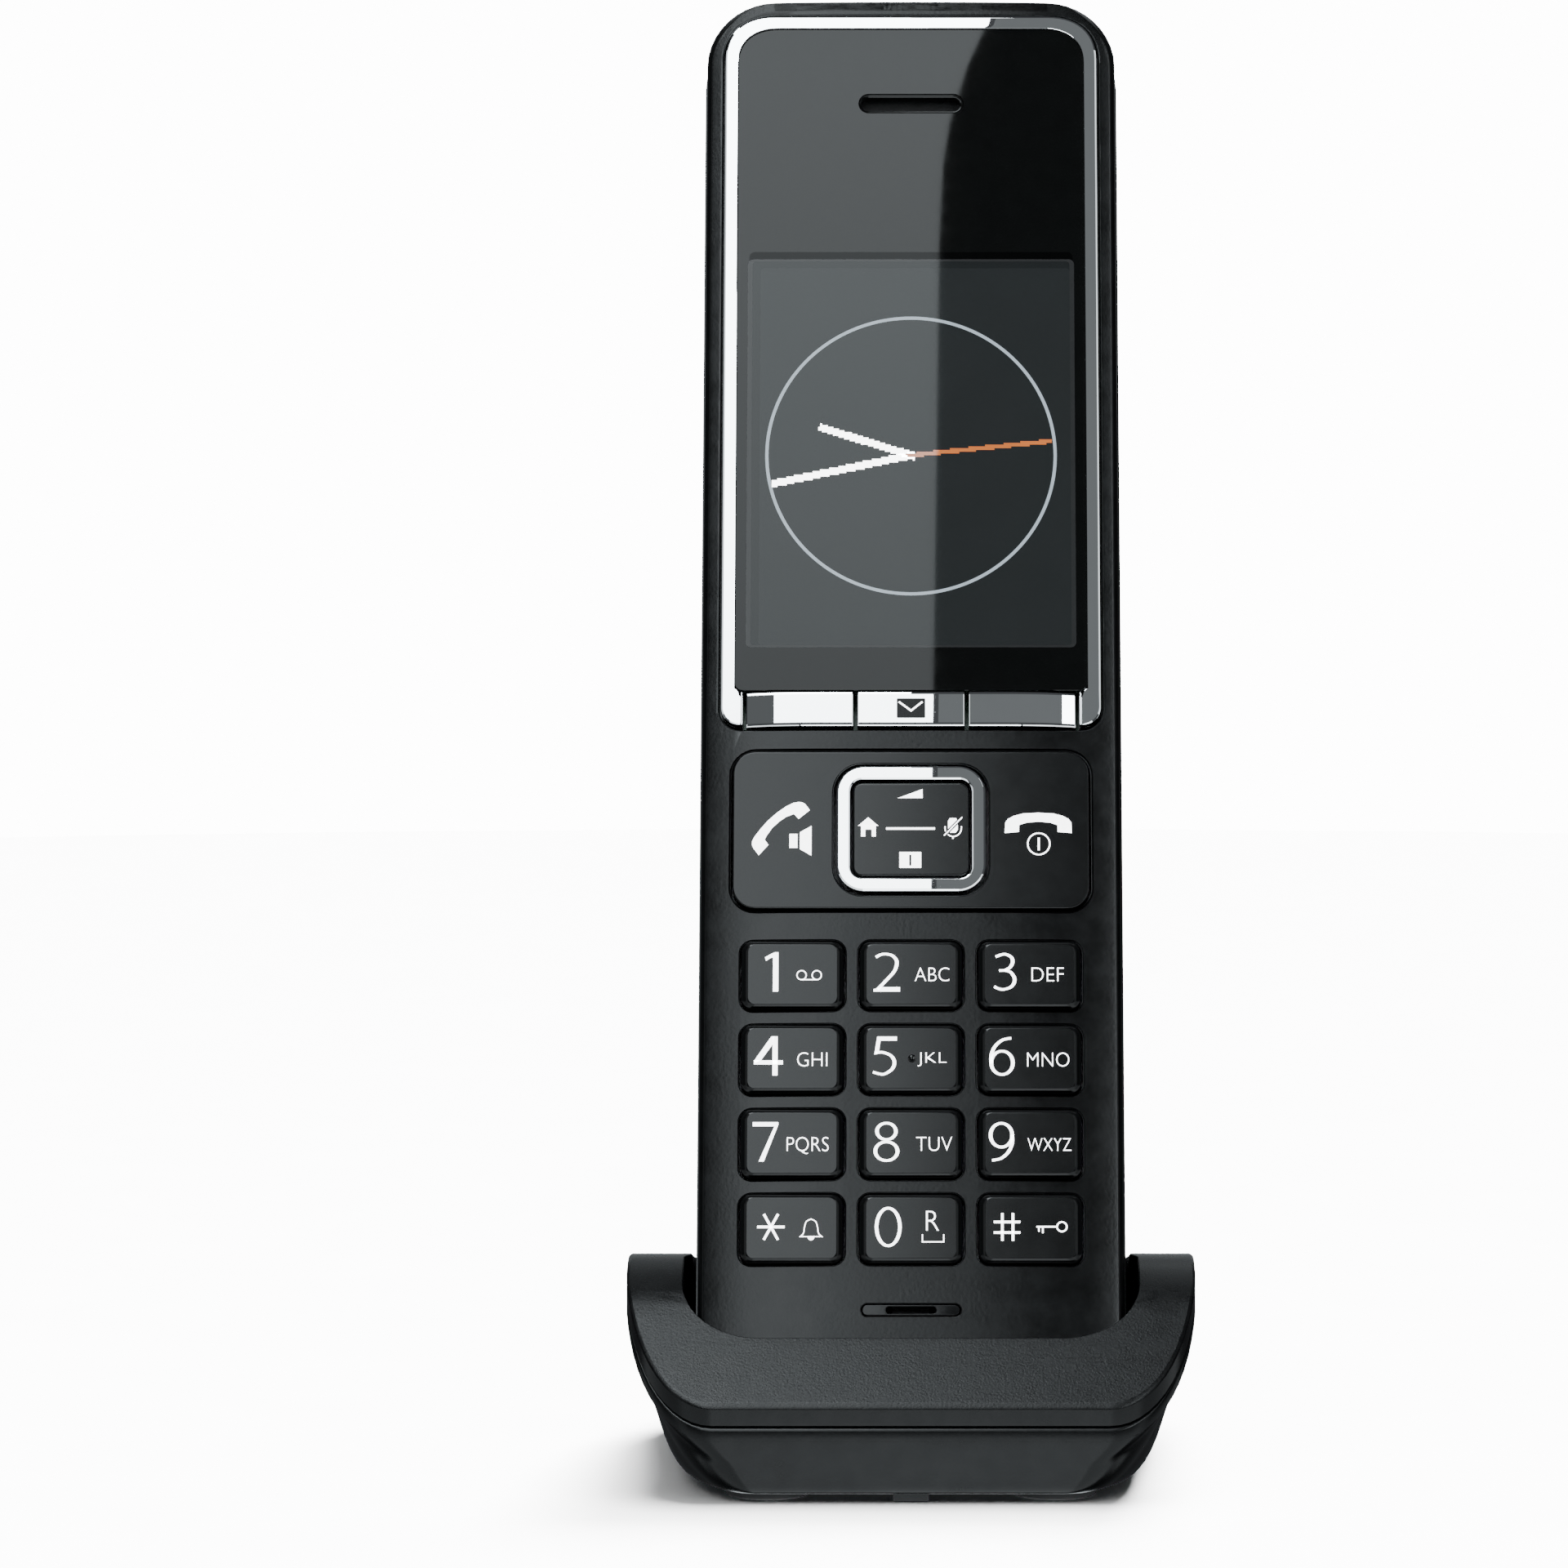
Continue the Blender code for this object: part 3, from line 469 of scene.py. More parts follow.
STRAIGHT = {  # filled shapes inside a unit box
    "1": [[(0.085, 0.779), (0, 0.874), (0.46, 0.958), (0.75, 1), (1, 1), (1, 0), (0.6, 0), (0.6, 0.863),
           (0.49, 0.863), (0.26, 0.82)]],
    "2": [[(0, 0), (1, 0), (1, 0.115), (0.28, 0.115), (0, 0.06)]],
    "4": [[(0.64, 0), (0.814, 0), (0.814, 1), (0.64, 1)], [(0, 0.281), (1, 0.281), (1, 0.387), (0, 0.387)],
          [(0, 0.37), (0.597, 1), (0.7, 1), (0.64, 0.795), (0.24, 0.387), (0.05, 0.33)]],
    "5": [[(0.19, 1), (0.98, 1), (0.97, 0.896), (0.32, 0.896), (0.255, 0.6), (0.07, 0.54)]],
    "7": [[(0, 0.895), (0.85, 0.895), (0.24, 0), (0.44, 0), (1, 0.93), (1, 1), (0, 1)]],
}


def big_figure(figure, size, at, thick=0.38, thin=0.27):
    """A key's large figure about a centre. Upright strokes are a little thicker than level ones."""
    def placed(points):
        return [(at[0] - size[0] / 2 + x * size[0], at[1] - size[1] / 2 + z * size[1]) for x, z in points]

    shapes = [placed(shape) for shape in STRAIGHT.get(figure, ())]
    for stroke in STROKES.get(figure, ()):
        points = placed(stroke)
        is_closed = dist(points[0], points[-1]) < 0.001
        points = points[:-1] if is_closed else points
        widths = []
        for i in range(len(points)):
            before, after = neighbours(points, i, is_closed)
            upright = abs(after[1] - before[1]) / max(dist(before, after), 1e-6)
            widths.append(thin + (thick - thin) * upright ** 2)
        shapes += ribbon(points, widths, is_closed)
    return shapes


# ---------------- handset shells

def thickness(z):
    """Depth of the handset's back behind its face at height z."""
    z = min(max(z, 0), LENGTH)
    if z < THICKEST_AT:
        share = sin(0.5 * pi * z / THICKEST_AT) ** 1.2
        return BOTTOM_THICKNESS + (GREATEST_THICKNESS - BOTTOM_THICKNESS) * share
    fall = (z - THICKEST_AT) / (LENGTH - THICKEST_AT)
    return GREATEST_THICKNESS - (GREATEST_THICKNESS - TOP_THICKNESS) * fall ** 2


def body_loop(inset, depth, drop=0, ends=None):
    """The handset's outline moved in by inset, or by ends at its two ends. Depth is a function of height."""
    ends = inset if ends is None else ends
    low = (max(7 - inset, 0.5), max(7 - ends, 0.5))
    high = (max(8 - inset, 0.5), max(8.5 - ends, 0.5))
    stations = [12 + 4.5 * i for i in range(30)]
    half = half_outline(HALF_WIDTH - inset, ends, LENGTH - ends, low, high, stations)
    bow = 0.03 * inset
    shares = (0.03, 0.2, 0.36, 0.52, 0.68, 0.84)
    low_end = [(half[0][0] * share, half[0][1] - bow * (1 - share ** 2)) for share in shares]
    high_end = [(half[-1][0] * share, half[-1][1] + bow * (1 - share ** 2)) for share in reversed(shares)]
    return [(x, depth(z) - drop, z) for x, z in whole(low_end + half + high_end)]


def flat(depth):
    return lambda z: depth


def domed(rows):
    """Rows that follow the face as it falls away towards its sides."""
    return [[(x, y + DOME * x ** 4, z) for x, y, z in row] for row in rows]


def rear(share):
    return lambda z: PARTING + (thickness(z) - PARTING) * share


ROUNDER = 0.85  # below 1, a corner bulges past a circle


def soft_corner(reach, at, steps=14):
    """Quarter of a rounder-than-circular corner, from its side to its top, about an inner point."""
    points = []
    for step in range(steps + 1):
        across, up = cos_sin(90 * step / steps)
        points.append((at[0] + reach[0] * across ** ROUNDER, at[1] + reach[1] * up ** ROUNDER))
    return points


def frame_half(inset, bottom=FRAME_BOTTOM, low=0.2, steps=8):
    """Right half of the window's outline, from its low end to its top."""
    half = half_outline(FRAME_HALF - inset, bottom, 200, (low, low), (1, 1), (), steps)[:steps + 1]
    reach = (5.6 - 0.55 * inset, 5.2 - 0.75 * inset)
    top = (FRAME_HALF - inset - reach[0], FRAME_TOP - inset - reach[1])
    return half + [(FRAME_HALF - inset, 85 + 5 * i) for i in range(12)] + soft_corner(reach, top)


def key_places():
    names = ["key_%s" % n for n in "123456789"] + ["key_star", "key_0", "key_hash"]
    return [(name, *centre(name)) for name in names]


def edge_depth(step):
    """Depth of a row of the front shell's rounded edge, which is deeper at the ends than at the sides."""
    share = 1 - cos_sin(7.5 * step)[0]
    return lambda z: share * (0.9 + 4.1 * max(0, 1 - min(z, LENGTH - z) / 8.5) ** 1.5)


def front_shell():
    outer = domed([body_loop(inset, flat(0), ends=min(inset, 4.2 + 0.3 * inset))
                   for inset in (20, 16, 13, 10.5, 8.5, 7, 5.8, 4.8, 3.8, 3, 2.4, 1.9, 1.5)])
    for step in range(13):
        turn = 1 - cos_sin(7.5 * step)[1]
        outer += domed([body_loop(FRONT_REVEAL + 0.7 * turn, edge_depth(step),
                                  ends=FRONT_REVEAL + 2.1 * turn)])
    rim = PARTING - 0.15
    inside = [body_loop(inset, flat(depth)) for inset, depth in
              ((FRONT_REVEAL, rim - 0.2), (FRONT_REVEAL + 0.15, rim), (1.9, rim), (1.9, 5.5),
               (3.2, FACE_WALL + 0.6))]
    shell = loft("front_shell", [outer + inside], [TEXTURED])
    key_cuts = [domed(trumpet(KEY_HOLE, 1.45, z, 0.12, 4, x)) for _, x, z in key_places()]
    recess = []
    for grow, at in ((0.42, -0.6), (0.42, -0.01), (0.36, 0.02), (0.27, 0.09), (0.22, 0.2), (0.2, 1.3)):
        recess.append([(x, at, z) for x, z in whole(frame_half(-grow, FRAME_BOTTOM - grow, 2.4))])
    others = [
        domed(trumpet(PANEL, 2.7, PANEL_Z, 0.22, 4)),
        [facing((36.7, 4.4), 0.4, SOFT_KEY_Z + 0.15, at) for at in (-1, 4)],
        [facing((13, 3.6), 1.6, EAR_Z, at) for at in (-1, 4)],
        trumpet((10.75, 1.45), 0.72, MIC_Z, 0.08, 4),
    ]
    carve(shell, cutter("keys", *key_cuts), cutter("recess", domed(recess)), cutter("others", *others))
    shown(shell, "handset", "handset_front_shell")


def back_rows():
    """Outer rows of the rear shell, from the middle of the back to the seam."""
    rows = []
    for step in range(13):
        across, up = cos_sin(90 - 7.5 * step)
        rows.append(body_loop(9 * (1 - across), rear(0.3 + 0.7 * up)))
    seam = PARTING + 0.15
    rows += [body_loop(0, flat(seam + 0.45)), body_loop(0.1, flat(seam + 0.15)), body_loop(0.35, flat(seam))]
    return rows


def rear_pieces():
    inner = [body_loop(1.8, flat(PARTING + 0.15)), body_loop(1.8, rear(0.4), 1),
             body_loop(5.2, rear(0.86), 2.4), body_loop(9.6, rear(1), 2.4)]
    shell = loft("rear_shell", [back_rows() + inner], [TEXTURED])
    half, low, high = COVER
    size, middle = (2 * half, high - low), (high + low) / 2
    wide = (size[0] + 0.5, size[1] + 0.5)
    slots = [[facing((width, 1.3), 0.64, SPEAKER_Z + 3.2 * row, at, steps=6) for at in (15, 30)]
             for row, width in zip(range(-2, 3), (9, 14, 16, 14, 9))]
    carve(shell, cutter("opening", [facing(wide, 2.2, middle, 9.6), facing(wide, 2.2, middle, 40)]),
          cutter("slots", *slots))
    shown(shell, "handset")

    skin = [[(x, y - 1.4, z) for x, y, z in row] for row in back_rows()[:9]]
    cover = loft("battery_door", [back_rows()[:9] + skin[::-1]], [TEXTURED])
    carve(cover, cutter("region", [facing(size, 2, middle, 5), facing(size, 2, middle, 40)]),
          operation="INTERSECT")
    ribs = []
    for i in range(5):
        z, reach = low + 6 + 2.4 * i, 6 - 0.9 * i
        foot = ((reach, -0.45), (reach, 0.45), (-reach, 0.45), (-reach, -0.45))
        ribs.append([[(x, thickness(z) + y, z + dz) for x, dz in foot] for y in (-1, -0.1)])
        ribs[-1].append([(x * 0.96, y + 0.3, z + (zz - z) * 0.4) for x, y, zz in ribs[-1][1]])
    carve(cover, cutter("ribs", *ribs), operation="UNION")
    shown(cover, "battery_cover", "battery_cover")


# ---------------- display window

def chrome_frame():
    """An upside-down U of plated trim whose legs widen beside the soft keys and end in a curve."""
    radius, foot = 1.95, FRAME_BOTTOM + 0.15
    outer, inner = [], []
    for step in range(11):
        across, up = cos_sin(-90 + 9 * step)
        outer.append((FRAME_HALF - radius + radius * across, foot + radius + radius * up))
        inner.append((18.62, foot + 0.31 * step))
    for step in range(1, 7):
        across, up = cos_sin(15 * step)
        outer.append((FRAME_HALF, foot + radius + 0.42 * step))
        inner.append((FRAME_HALF - FRAME_BAND - 0.58 * across, foot + 3.1 + up))
    outer, inner = whole(outer + frame_half(0)[9:]), whole(inner + frame_half(FRAME_BAND)[9:])
    section = ((0, 1), (0, -0.34), (0.02, -0.38), (0.18, -0.446), (0.22, -0.45), (1.34, -0.45),
               (1.38, -0.44), (1.4, -0.4), (1.4, 1))
    rows = []
    for (xo, zo), (xi, zi) in zip(outer, inner):
        span = dist((xo, zo), (xi, zi))
        rows.append([])
        for off, y in section:
            share = off / span if off < 0.7 else 1 - (1.4 - off) / span
            rows[-1].append((xo + (xi - xo) * share, y, zo + (zi - zo) * share))
    shown(strip("chrome_trim", rows), "handset", "display_frame")
    for name, x in (("trim_post_left", -18.5), ("trim_post_right", 18.5)):
        post = rounded((0.24, 3.7), 0.11, SOFT_KEY_Z + 0.05, -0.4, 1.2, 0.1, x, steps=3)
        shown(loft(name, [post], [CHROME]), "handset")


def display():
    outline = []
    for inset, at in ((0.05, LENS_Y), (0, LENS_Y + 0.05), (0, 1.1)):
        half = frame_half(FRAME_BAND + 0.02 + inset, LENS_BOTTOM - 0.15 + inset, 0.8)
        outline.append([(x, at, z) for x, z in whole(half)])
    glass = loft("lens", [outline], [LENS], sharp=12)
    carve(glass, cutter("ear", trumpet((11.1, 1.65), 0.82, EAR_Z, 0.33, 3, start=LENS_Y - 0.01)), sharp=12)
    shown(glass, "handset", "display_lens")

    half, low, high = 18.1, 82.28, 127.05
    middle = (low + high) / 2
    size = (2 * half, high - low)

    def sheet(name, wide, tall, at_z, lift, material, radius=0.6, at_x=0):
        outline = [(x, z) for x, _, z in facing((wide, tall), radius, at_z, 0, at_x)]
        print_on(name, [outline], LENS_Y - lift, "handset", material)

    sheet("window_shade", size[0] - 0.3, 1.5, high + 0.1, 0.002, SCREEN_SHADE)
    sheet("window_line", *size, middle, 0.004, SCREEN_EDGE)
    # Painted shadow: the darker sheet shows only along the left and top edges, because the window sheet above
    # it is moved right and down.
    sheet("window_painted_shadow", size[0] - 1, size[1] - 0.5, middle, 0.005, SCREEN_PAINTED_SHADOW, 0.4)
    sheet("window", size[0] - 1.9, size[1] - 1.3, middle - 0.4, 0.006, SCREEN, 0.4, 0.45)

    hub = (0, 104.27)
    print_on("clock_circle", ribbon(arc(hub, (15.9, 15.9), 0, 360, 160)[:-1], 0.36, True), LENS_Y - 0.008,
             "handset", CLOCK_RING)
    cell = 0.2045

    def hand(name, end, width, material, lift):
        """A hand drawn in the display's own square dots."""
        shapes = []
        length = dist(hub, end)
        step = ((end[0] - hub[0]) / length, (end[1] - hub[1]) / length)
        reach = int(length / cell) + 3
        for i in range(-reach, reach + 1):
            run = None
            for j in range(-reach, reach + 1):
                x, z = (i + 0.5) * cell, (j + 0.5) * cell
                is_along = -0.5 < x * step[0] + z * step[1] < length
                if is_along and abs(x * step[1] - z * step[0]) < width / 2:
                    run = (run[0], j) if run else (j, j)
            if run:
                x = hub[0] + i * cell
                shapes.append(bar(x, x + cell, hub[1] + run[0] * cell, hub[1] + (run[1] + 1) * cell))
        print_on(name, shapes, LENS_Y - lift, "handset", material)

    hand("hour_hand", (-10.1, 107.52), 0.8, CLOCK_WHITE, 0.01)
    hand("minute_hand", (-15.3, 100.97), 0.8, CLOCK_WHITE, 0.01)
    hand("second_hand", (15.6, 105.92), 0.5, CLOCK_ORANGE, 0.012)


# ---------------- keys

LEGENDS = {
    "key_1": ("1", (1.45, 4.35), (-2.26, 0.26)),
    "key_2": ("2", (2.85, 4.35), (-2.62, 0.26), "ABC", (3.73, 1.53), (2.27, -0.02)),
    "key_3": ("3", (2.6, 4.35), (-2.61, 0.26), "DEF", (3.48, 1.53), (1.96, -0.02)),
    "key_4": ("4", (3.12, 4.3), (-2.55, 0.26), "GHI", (3.24, 1.55), (2.16, -0.12)),
    "key_5": ("5", (2.7, 4.35), (-2.8, 0.22), "JKL", (3.12, 1.53), (2.27, -0.12)),
    "key_6": ("6", (2.95, 4.45), (-3, 0.22), "MNO", (4.55, 1.55), (1.97, -0.14)),
    "key_7": ("7", (2.75, 4.3), (-2.83, 0.12), "PQRS", (4.5, 1.53), (1.71, -0.12)),
    "key_8": ("8", (2.95, 4.5), (-2.64, 0.12), "TUV", (3.85, 1.53), (2.48, -0.12)),
    "key_9": ("9", (2.95, 4.5), (-3.1, 0.12), "WXYZ", (4.68, 1.4), (2.06, -0.18)),
    "key_star": ("*", (2.94, 2.8), (-2.19, 0.12)),
    "key_0": ("0", (3.05, 4.55), (-2.44, 0.12), "R", (1.38, 2.15), (2.3, 0.8)),
    "key_hash": ("#", (2.84, 3.02), (-2.52, 0.12)),
}
KEY_TOP = -0.7


def extra_marks(name):
    """Small marks beside the large figures: messages, ringer, recall bracket and lock."""
    if name == "key_1":
        circles = [ribbon(arc((x, -0.1), (0.5, 0.5), 0, 360)[:-1], 0.12, True) for x in (0.98, 2.62)]
        return circles[0] + circles[1] + ribbon([(0.98, -0.6), (2.62, -0.6)], 0.12)
    if name == "key_star":
        side = bend((0.95, -0.92), (1.3, -0.55), (1.42, 0.2), (1.62, 0.72), (2.1, 0.98))
        outline = side + [(4.2 - x, z) for x, z in reversed(side[:-1])]
        return ribbon(outline, 0.12, True) + [arc((2.1, -0.98), (0.36, 0.36), 180, 360, 12)]
    if name == "key_0":
        return ribbon([(1.22, -0.68), (1.22, -1.5), (3.5, -1.5), (3.5, -0.68)], 0.13)
    if name == "key_hash":
        bow = ribbon(arc((3.35, 0.14), (0.52, 0.52), 0, 360)[:-1], 0.17, True)
        stem = ribbon([(2.8, 0.14), (0.62, 0.14)], 0.17) + ribbon([(1.3, 0.14), (1.3, -0.55)], 0.17)
        return bow + stem + ribbon([(0.88, 0.14), (0.88, -0.4)], 0.16)
    return []


def keys():
    wide, tall = KEY_HOLE[0] - 0.4, KEY_HOLE[1] - 0.4
    bevel = ((0.76, 0.45, 0, 0.8), (0.74, 0.44, 0.005, 0.81), (0.5, 0.28, 0.1, 0.9),
             (0.42, 0.22, 0.17, 0.95), (0.24, 0.13, 0.32, 1.05), (0.08, 0.05, 0.44, 1.15),
             (0, 0, 0.6, 1.2), (0, 0, 3.4, 1.2))
    for name, x, z in key_places():
        rows = [facing((wide - 2 * side, tall - 2 * end), radius, z, KEY_TOP + depth, x)
                for side, end, depth, radius in bevel]
        piece = loft(name.replace("key", "keycap"), [rows], [KEYS])
        if name == "key_5":
            dot = [[(a, KEY_TOP + depth, c) for a, c in circle((x + 0.1, z - 0.02), radius)]
                   for radius, depth in ((0.12, -0.3), (0.3, -0.24), (0.42, -0.1), (0.46, 0.2))]
            carve(piece, cutter("dot", dot), operation="UNION")
        shown(piece, name, name)
        figure, box, at, *word = LEGENDS[name]
        shapes = big_figure(figure, box, at, *((0.27, 0.27) if figure in "*#" else ()))
        if word:
            shapes += lettering(*word)
        shapes += extra_marks(name)
        print_on(name.replace("key", "legend"), moved(shapes, (x, z)), KEY_TOP - 0.012, name)

    for name in ("soft_key_left", "message_key", "soft_key_right"):
        x, z = centre(name)
        low, high = x - 5.86, x + 5.86
        columns = [low, low + 0.05, low + 0.14]
        columns += [low + 0.14 + (high - low - 0.28) * i / 36 for i in range(1, 36)]
        columns += [high - 0.14, high - 0.05, high]
        section = ((-1.93, 1.6), (-1.93, -0.44), (-1.83, -0.54), (-1.6, -0.6), (1.6, -0.6), (1.83, -0.54),
                   (1.93, -0.44), (1.93, 1.6))
        rows = []
        for i, column in enumerate(columns):
            crown = 0.00106 * max(0, abs(column) - 9) ** 3
            edge = {0: 0.12, 1: 0.04}.get(min(i, len(columns) - 1 - i), 0)
            rows.append([(column, min(y + crown + edge, 1.6), z + dz) for dz, y in section])
        shown(strip(name + "_bar", rows), name, name)
    x, z = centre("message_key")
    letter = [[(a, c) for a, _, c in facing((3.12, 2.23), 0.12, 0, 0)]]
    print_on("envelope", moved(letter, (x, z + 0.02)), -0.612, "message_key", DARK_INK)
    flap = ribbon([(-1.33, 0.74), (0, -0.27), (1.25, 0.74)], 0.2)
    print_on("envelope_flap", moved(flap, (x, z)), -0.62, "message_key", GLOWING_INK)


def navigation():
    rocker = loft("rocker", [rounded((38.75, 17.55), 2.45, PANEL_Z, -0.35, 1.8, 0.16)], [SMOOTH])
    carve(rocker, cutter("nav", trumpet(NAV_HOLE, 3.2, PANEL_Z, 0.16, 4, start=-0.36)))
    shown(rocker, "call_end_rocker", "call_end_rocker")

    outside, inside = (16.2, 14), (13.2, 11)
    rows = []
    for inset, at in ((0, 1.4), (0, -0.8), (0.05, -0.9), (0.19, -0.99), (0.22, -1)):
        rows.append(facing(outside, 3, PANEL_Z, at, inset=inset, steps=12))
    for inset, at in ((-0.18, -1), (-0.15, -0.99), (-0.02, -0.92), (0, -0.85), (0, 1.4)):
        rows.append(facing(inside, 1.3, PANEL_Z, at, inset=inset, steps=12))
    shown(loft("ring", [rows], [CHROME], is_ring=True, sharp=12), "nav_ring", "nav_ring")
    pad = rounded((12.7, 10.5), 1.05, PANEL_Z, -0.55, 1.4, 0.25)
    shown(loft("pad", [pad], [KEYS]), "nav_ring", "nav_pad")

    receiver = [(10.18, -0.38), (10.24, 0.79), (10.52, 1.19), (11.15, 1.53), (12.17, 1.81), (13.83, 1.9),
                (13.83, 0.89), (12.54, 0.79), (11.74, 0.51), (11.73, -0.25)]
    end_key = [receiver, [(27.66 - x, z) for x, z in receiver]]
    ring = ribbon(arc((13.87, -1.59), (1.2, 1.2), 0, 360)[:-1], 0.16, True)
    stroke = ribbon([(13.87, -0.9), (13.87, -2.3)], 0.24)
    call_key = [[(-11, 2.19), (-11.54, 2.9), (-11.86, 3.07), (-12.24, 3.1), (-12.81, 2.99),
                 (-13.57, 2.61), (-14.58, 1.89), (-15.58, 0.98), (-16.41, 0), (-17.04, -0.85),
                 (-17.26, -1.31), (-17.28, -1.7), (-17.11, -2.09), (-16.53, -2.87), (-15.49, -1.7),
                 (-15.9, -1.11), (-15.71, -0.72), (-15.08, 0.19), (-14.32, 0.91), (-13.57, 1.43),
                 (-12.74, 1.76), (-12.21, 1.2)]]
    speaker = [[(-13.21, -2.06), (-12.33, -2.06), (-12.33, -0.48), (-13.21, -0.48)],
               [(-12.08, -2.18), (-10.81, -2.91), (-10.81, 0.42), (-12.08, -0.3)]]
    marks = moved(end_key + ring + stroke + call_key + speaker, (0, PANEL_Z))
    print_on("call_and_end_marks", marks, -0.37, "call_end_rocker")

    house = [[(-4.66, 1.34), (-5.77, 0.37), (-3.54, 0.37)], bar(-5.43, -4.96, -0.81, 0.38),
             bar(-4.27, -3.82, -0.81, 0.38), bar(-4.97, -4.26, -0.03, 0.38)]
    wedge = [[(-1.47, 3.48), (1.27, 3.48), (1.25, 4.5)]]
    book = [bar(-1.26, -0.19, -4.32, -2.55), bar(0.04, 1.1, -4.32, -2.55),
            bar(-0.2, 0.05, -2.85, -2.55), bar(-0.2, 0.05, -4.32, -4.09)]
    microphone = [[(x + 4.55, z) for x, z in ((-0.53, 0.9), (-0.33, 1.25), (0.33, 1.25), (0.53, 0.9),
                                              (0.53, -0.05), (0.3, -0.39), (-0.3, -0.39), (-0.53, -0.05))]]
    microphone += ribbon([(3.7, 0.34)] + arc((4.58, 0.1), (0.88, 0.91), 180, 360, 16) + [(5.47, 0.34)], 0.13)
    microphone += ribbon([(4.55, -0.81), (4.55, -1.07)], 0.15)
    line = [bar(-2.71, 2.6, -0.05, 0.2)]
    marks = moved(house + wedge + book + microphone + line, (0, PANEL_Z))
    print_on("pad_marks", marks, -0.562, "nav_ring")
    slash = [(3.58, -0.72), (5.56, 1.34)]
    print_on("mute_slash_gap", moved(ribbon(slash, 0.42), (0, PANEL_Z)), -0.566, "nav_ring", KEYS)
    print_on("mute_slash", moved(ribbon(slash, 0.13), (0, PANEL_Z)), -0.57, "nav_ring")


def small_openings():
    insert = loft("mic_plug", [rounded((10.4, 1.12), 0.55, MIC_Z, 0, 1.6, 0.05)], [TEXTURED])
    carve(insert, cutter("mic", trumpet((5.4, 0.8), 0.38, MIC_Z, 0.06, 3)))
    shown(insert, "handset", "microphone_insert")


# ---------------- cradle

def profile(y):
    """Height of the cradle's top above the table."""
    start_z = FRONT_EDGE_Z + ROLL_START
    middle = (ROLL_START + ROLL_RADIUS * sqrt(0.5), start_z - ROLL_RADIUS * sqrt(0.5))
    end = middle[0] + ROLL_RADIUS * sin(REAR_SLOPE)
    if y < ROLL_START:
        return FRONT_EDGE_Z + y
    if y < end:
        return middle[1] + sqrt(ROLL_RADIUS ** 2 - (y - middle[0]) ** 2)
    return middle[1] + ROLL_RADIUS * cos(REAR_SLOPE) - (y - end) * tan(REAR_SLOPE)


def plan(inset):
    """Outline of the cradle seen from above."""
    stations = [15.2 + 0.8 * i for i in range(12)] + [25.5 + 2 * i for i in range(11)]
    return whole(half_outline(CRADLE_HALF - inset, inset, CRADLE_DEPTH - inset, (9.5 - inset, 14 - inset),
                              (12 - inset, 12 - inset), stations, 14))


def under_top(outline, drop):
    return [(x, y, profile(y) - drop) for x, y in outline]


def along_lean(x, s, at):
    """A point of the pocket: s across the handset's thickness, at along its leaning length."""
    sine, cosine = sin(LEAN), cos(LEAN)
    return (x, HANDSET_AT[0] + s * cosine + at * sine, HANDSET_AT[1] - s * sine + at * cosine)


def pocket_rows(grow, low, tops):
    """Rows of the pocket's prism: a level foot, then rows that follow the cradle's top.

    Each of tops is the row's drop below the top and how much wider the row is.
    """
    def section(more):
        corner = (8.2 + more, 3.2 + more)
        half_width, front, back = POCKET
        outline = whole(half_outline(half_width + more, front - more, back + more, corner,
                                     (5 + more, 5 + more), (8, 9.5), 16))
        return [(x * (1 - POCKET_NARROWING * min(max((s - 8) / 1.5, 0), 1)), s) for x, s in outline]

    rows = [[along_lean(x, s, low) for x, s in section(grow)]]
    for drop, more in tops:
        row = []
        for x, s in section(grow + more):
            near, far = -8, 60
            for _ in range(40):
                middle = (near + far) / 2
                _, y, z = along_lean(x, s, middle)
                if z > profile(max(y, 0)) - drop:
                    far = middle
                else:
                    near = middle
            row.append(along_lean(x, s, near))
        rows.append(row)
    return rows


def tub_row(share):
    """Row of the bottom shell's outside: 0 at its underside, 1 just below the seam."""
    row = []
    for x, y in plan(0.12):
        top = profile(y) - SEAM_DROP - 0.3 - 1.35
        z = BASE_Z + (top - BASE_Z) * share
        below = top - z
        depth = min(max((TUB_SIDE_Z - z) / 16, 0), 0.999)
        narrow = 3 * max(0, 1 - y / 34) * min(1, below / 9)
        side = (0.055 * (TUB_SIDE_Z - z) + 4.4 * (1 - sqrt(1 - depth ** 2))) * min(1, below / 2.5)
        low = min(max((BASE_Z + 2.2 - z) / 2.2, 0), 1)
        end = 0.7 * (1 - sqrt(1 - min(low, 0.999) ** 2)) + 0.05 * below * min(1, below / 2.5)
        inwards = (max(side, 0) + narrow) / CRADLE_HALF
        row.append((x * (1 - inwards), y + end * (1 - 2 * y / CRADLE_DEPTH), z))
    return row


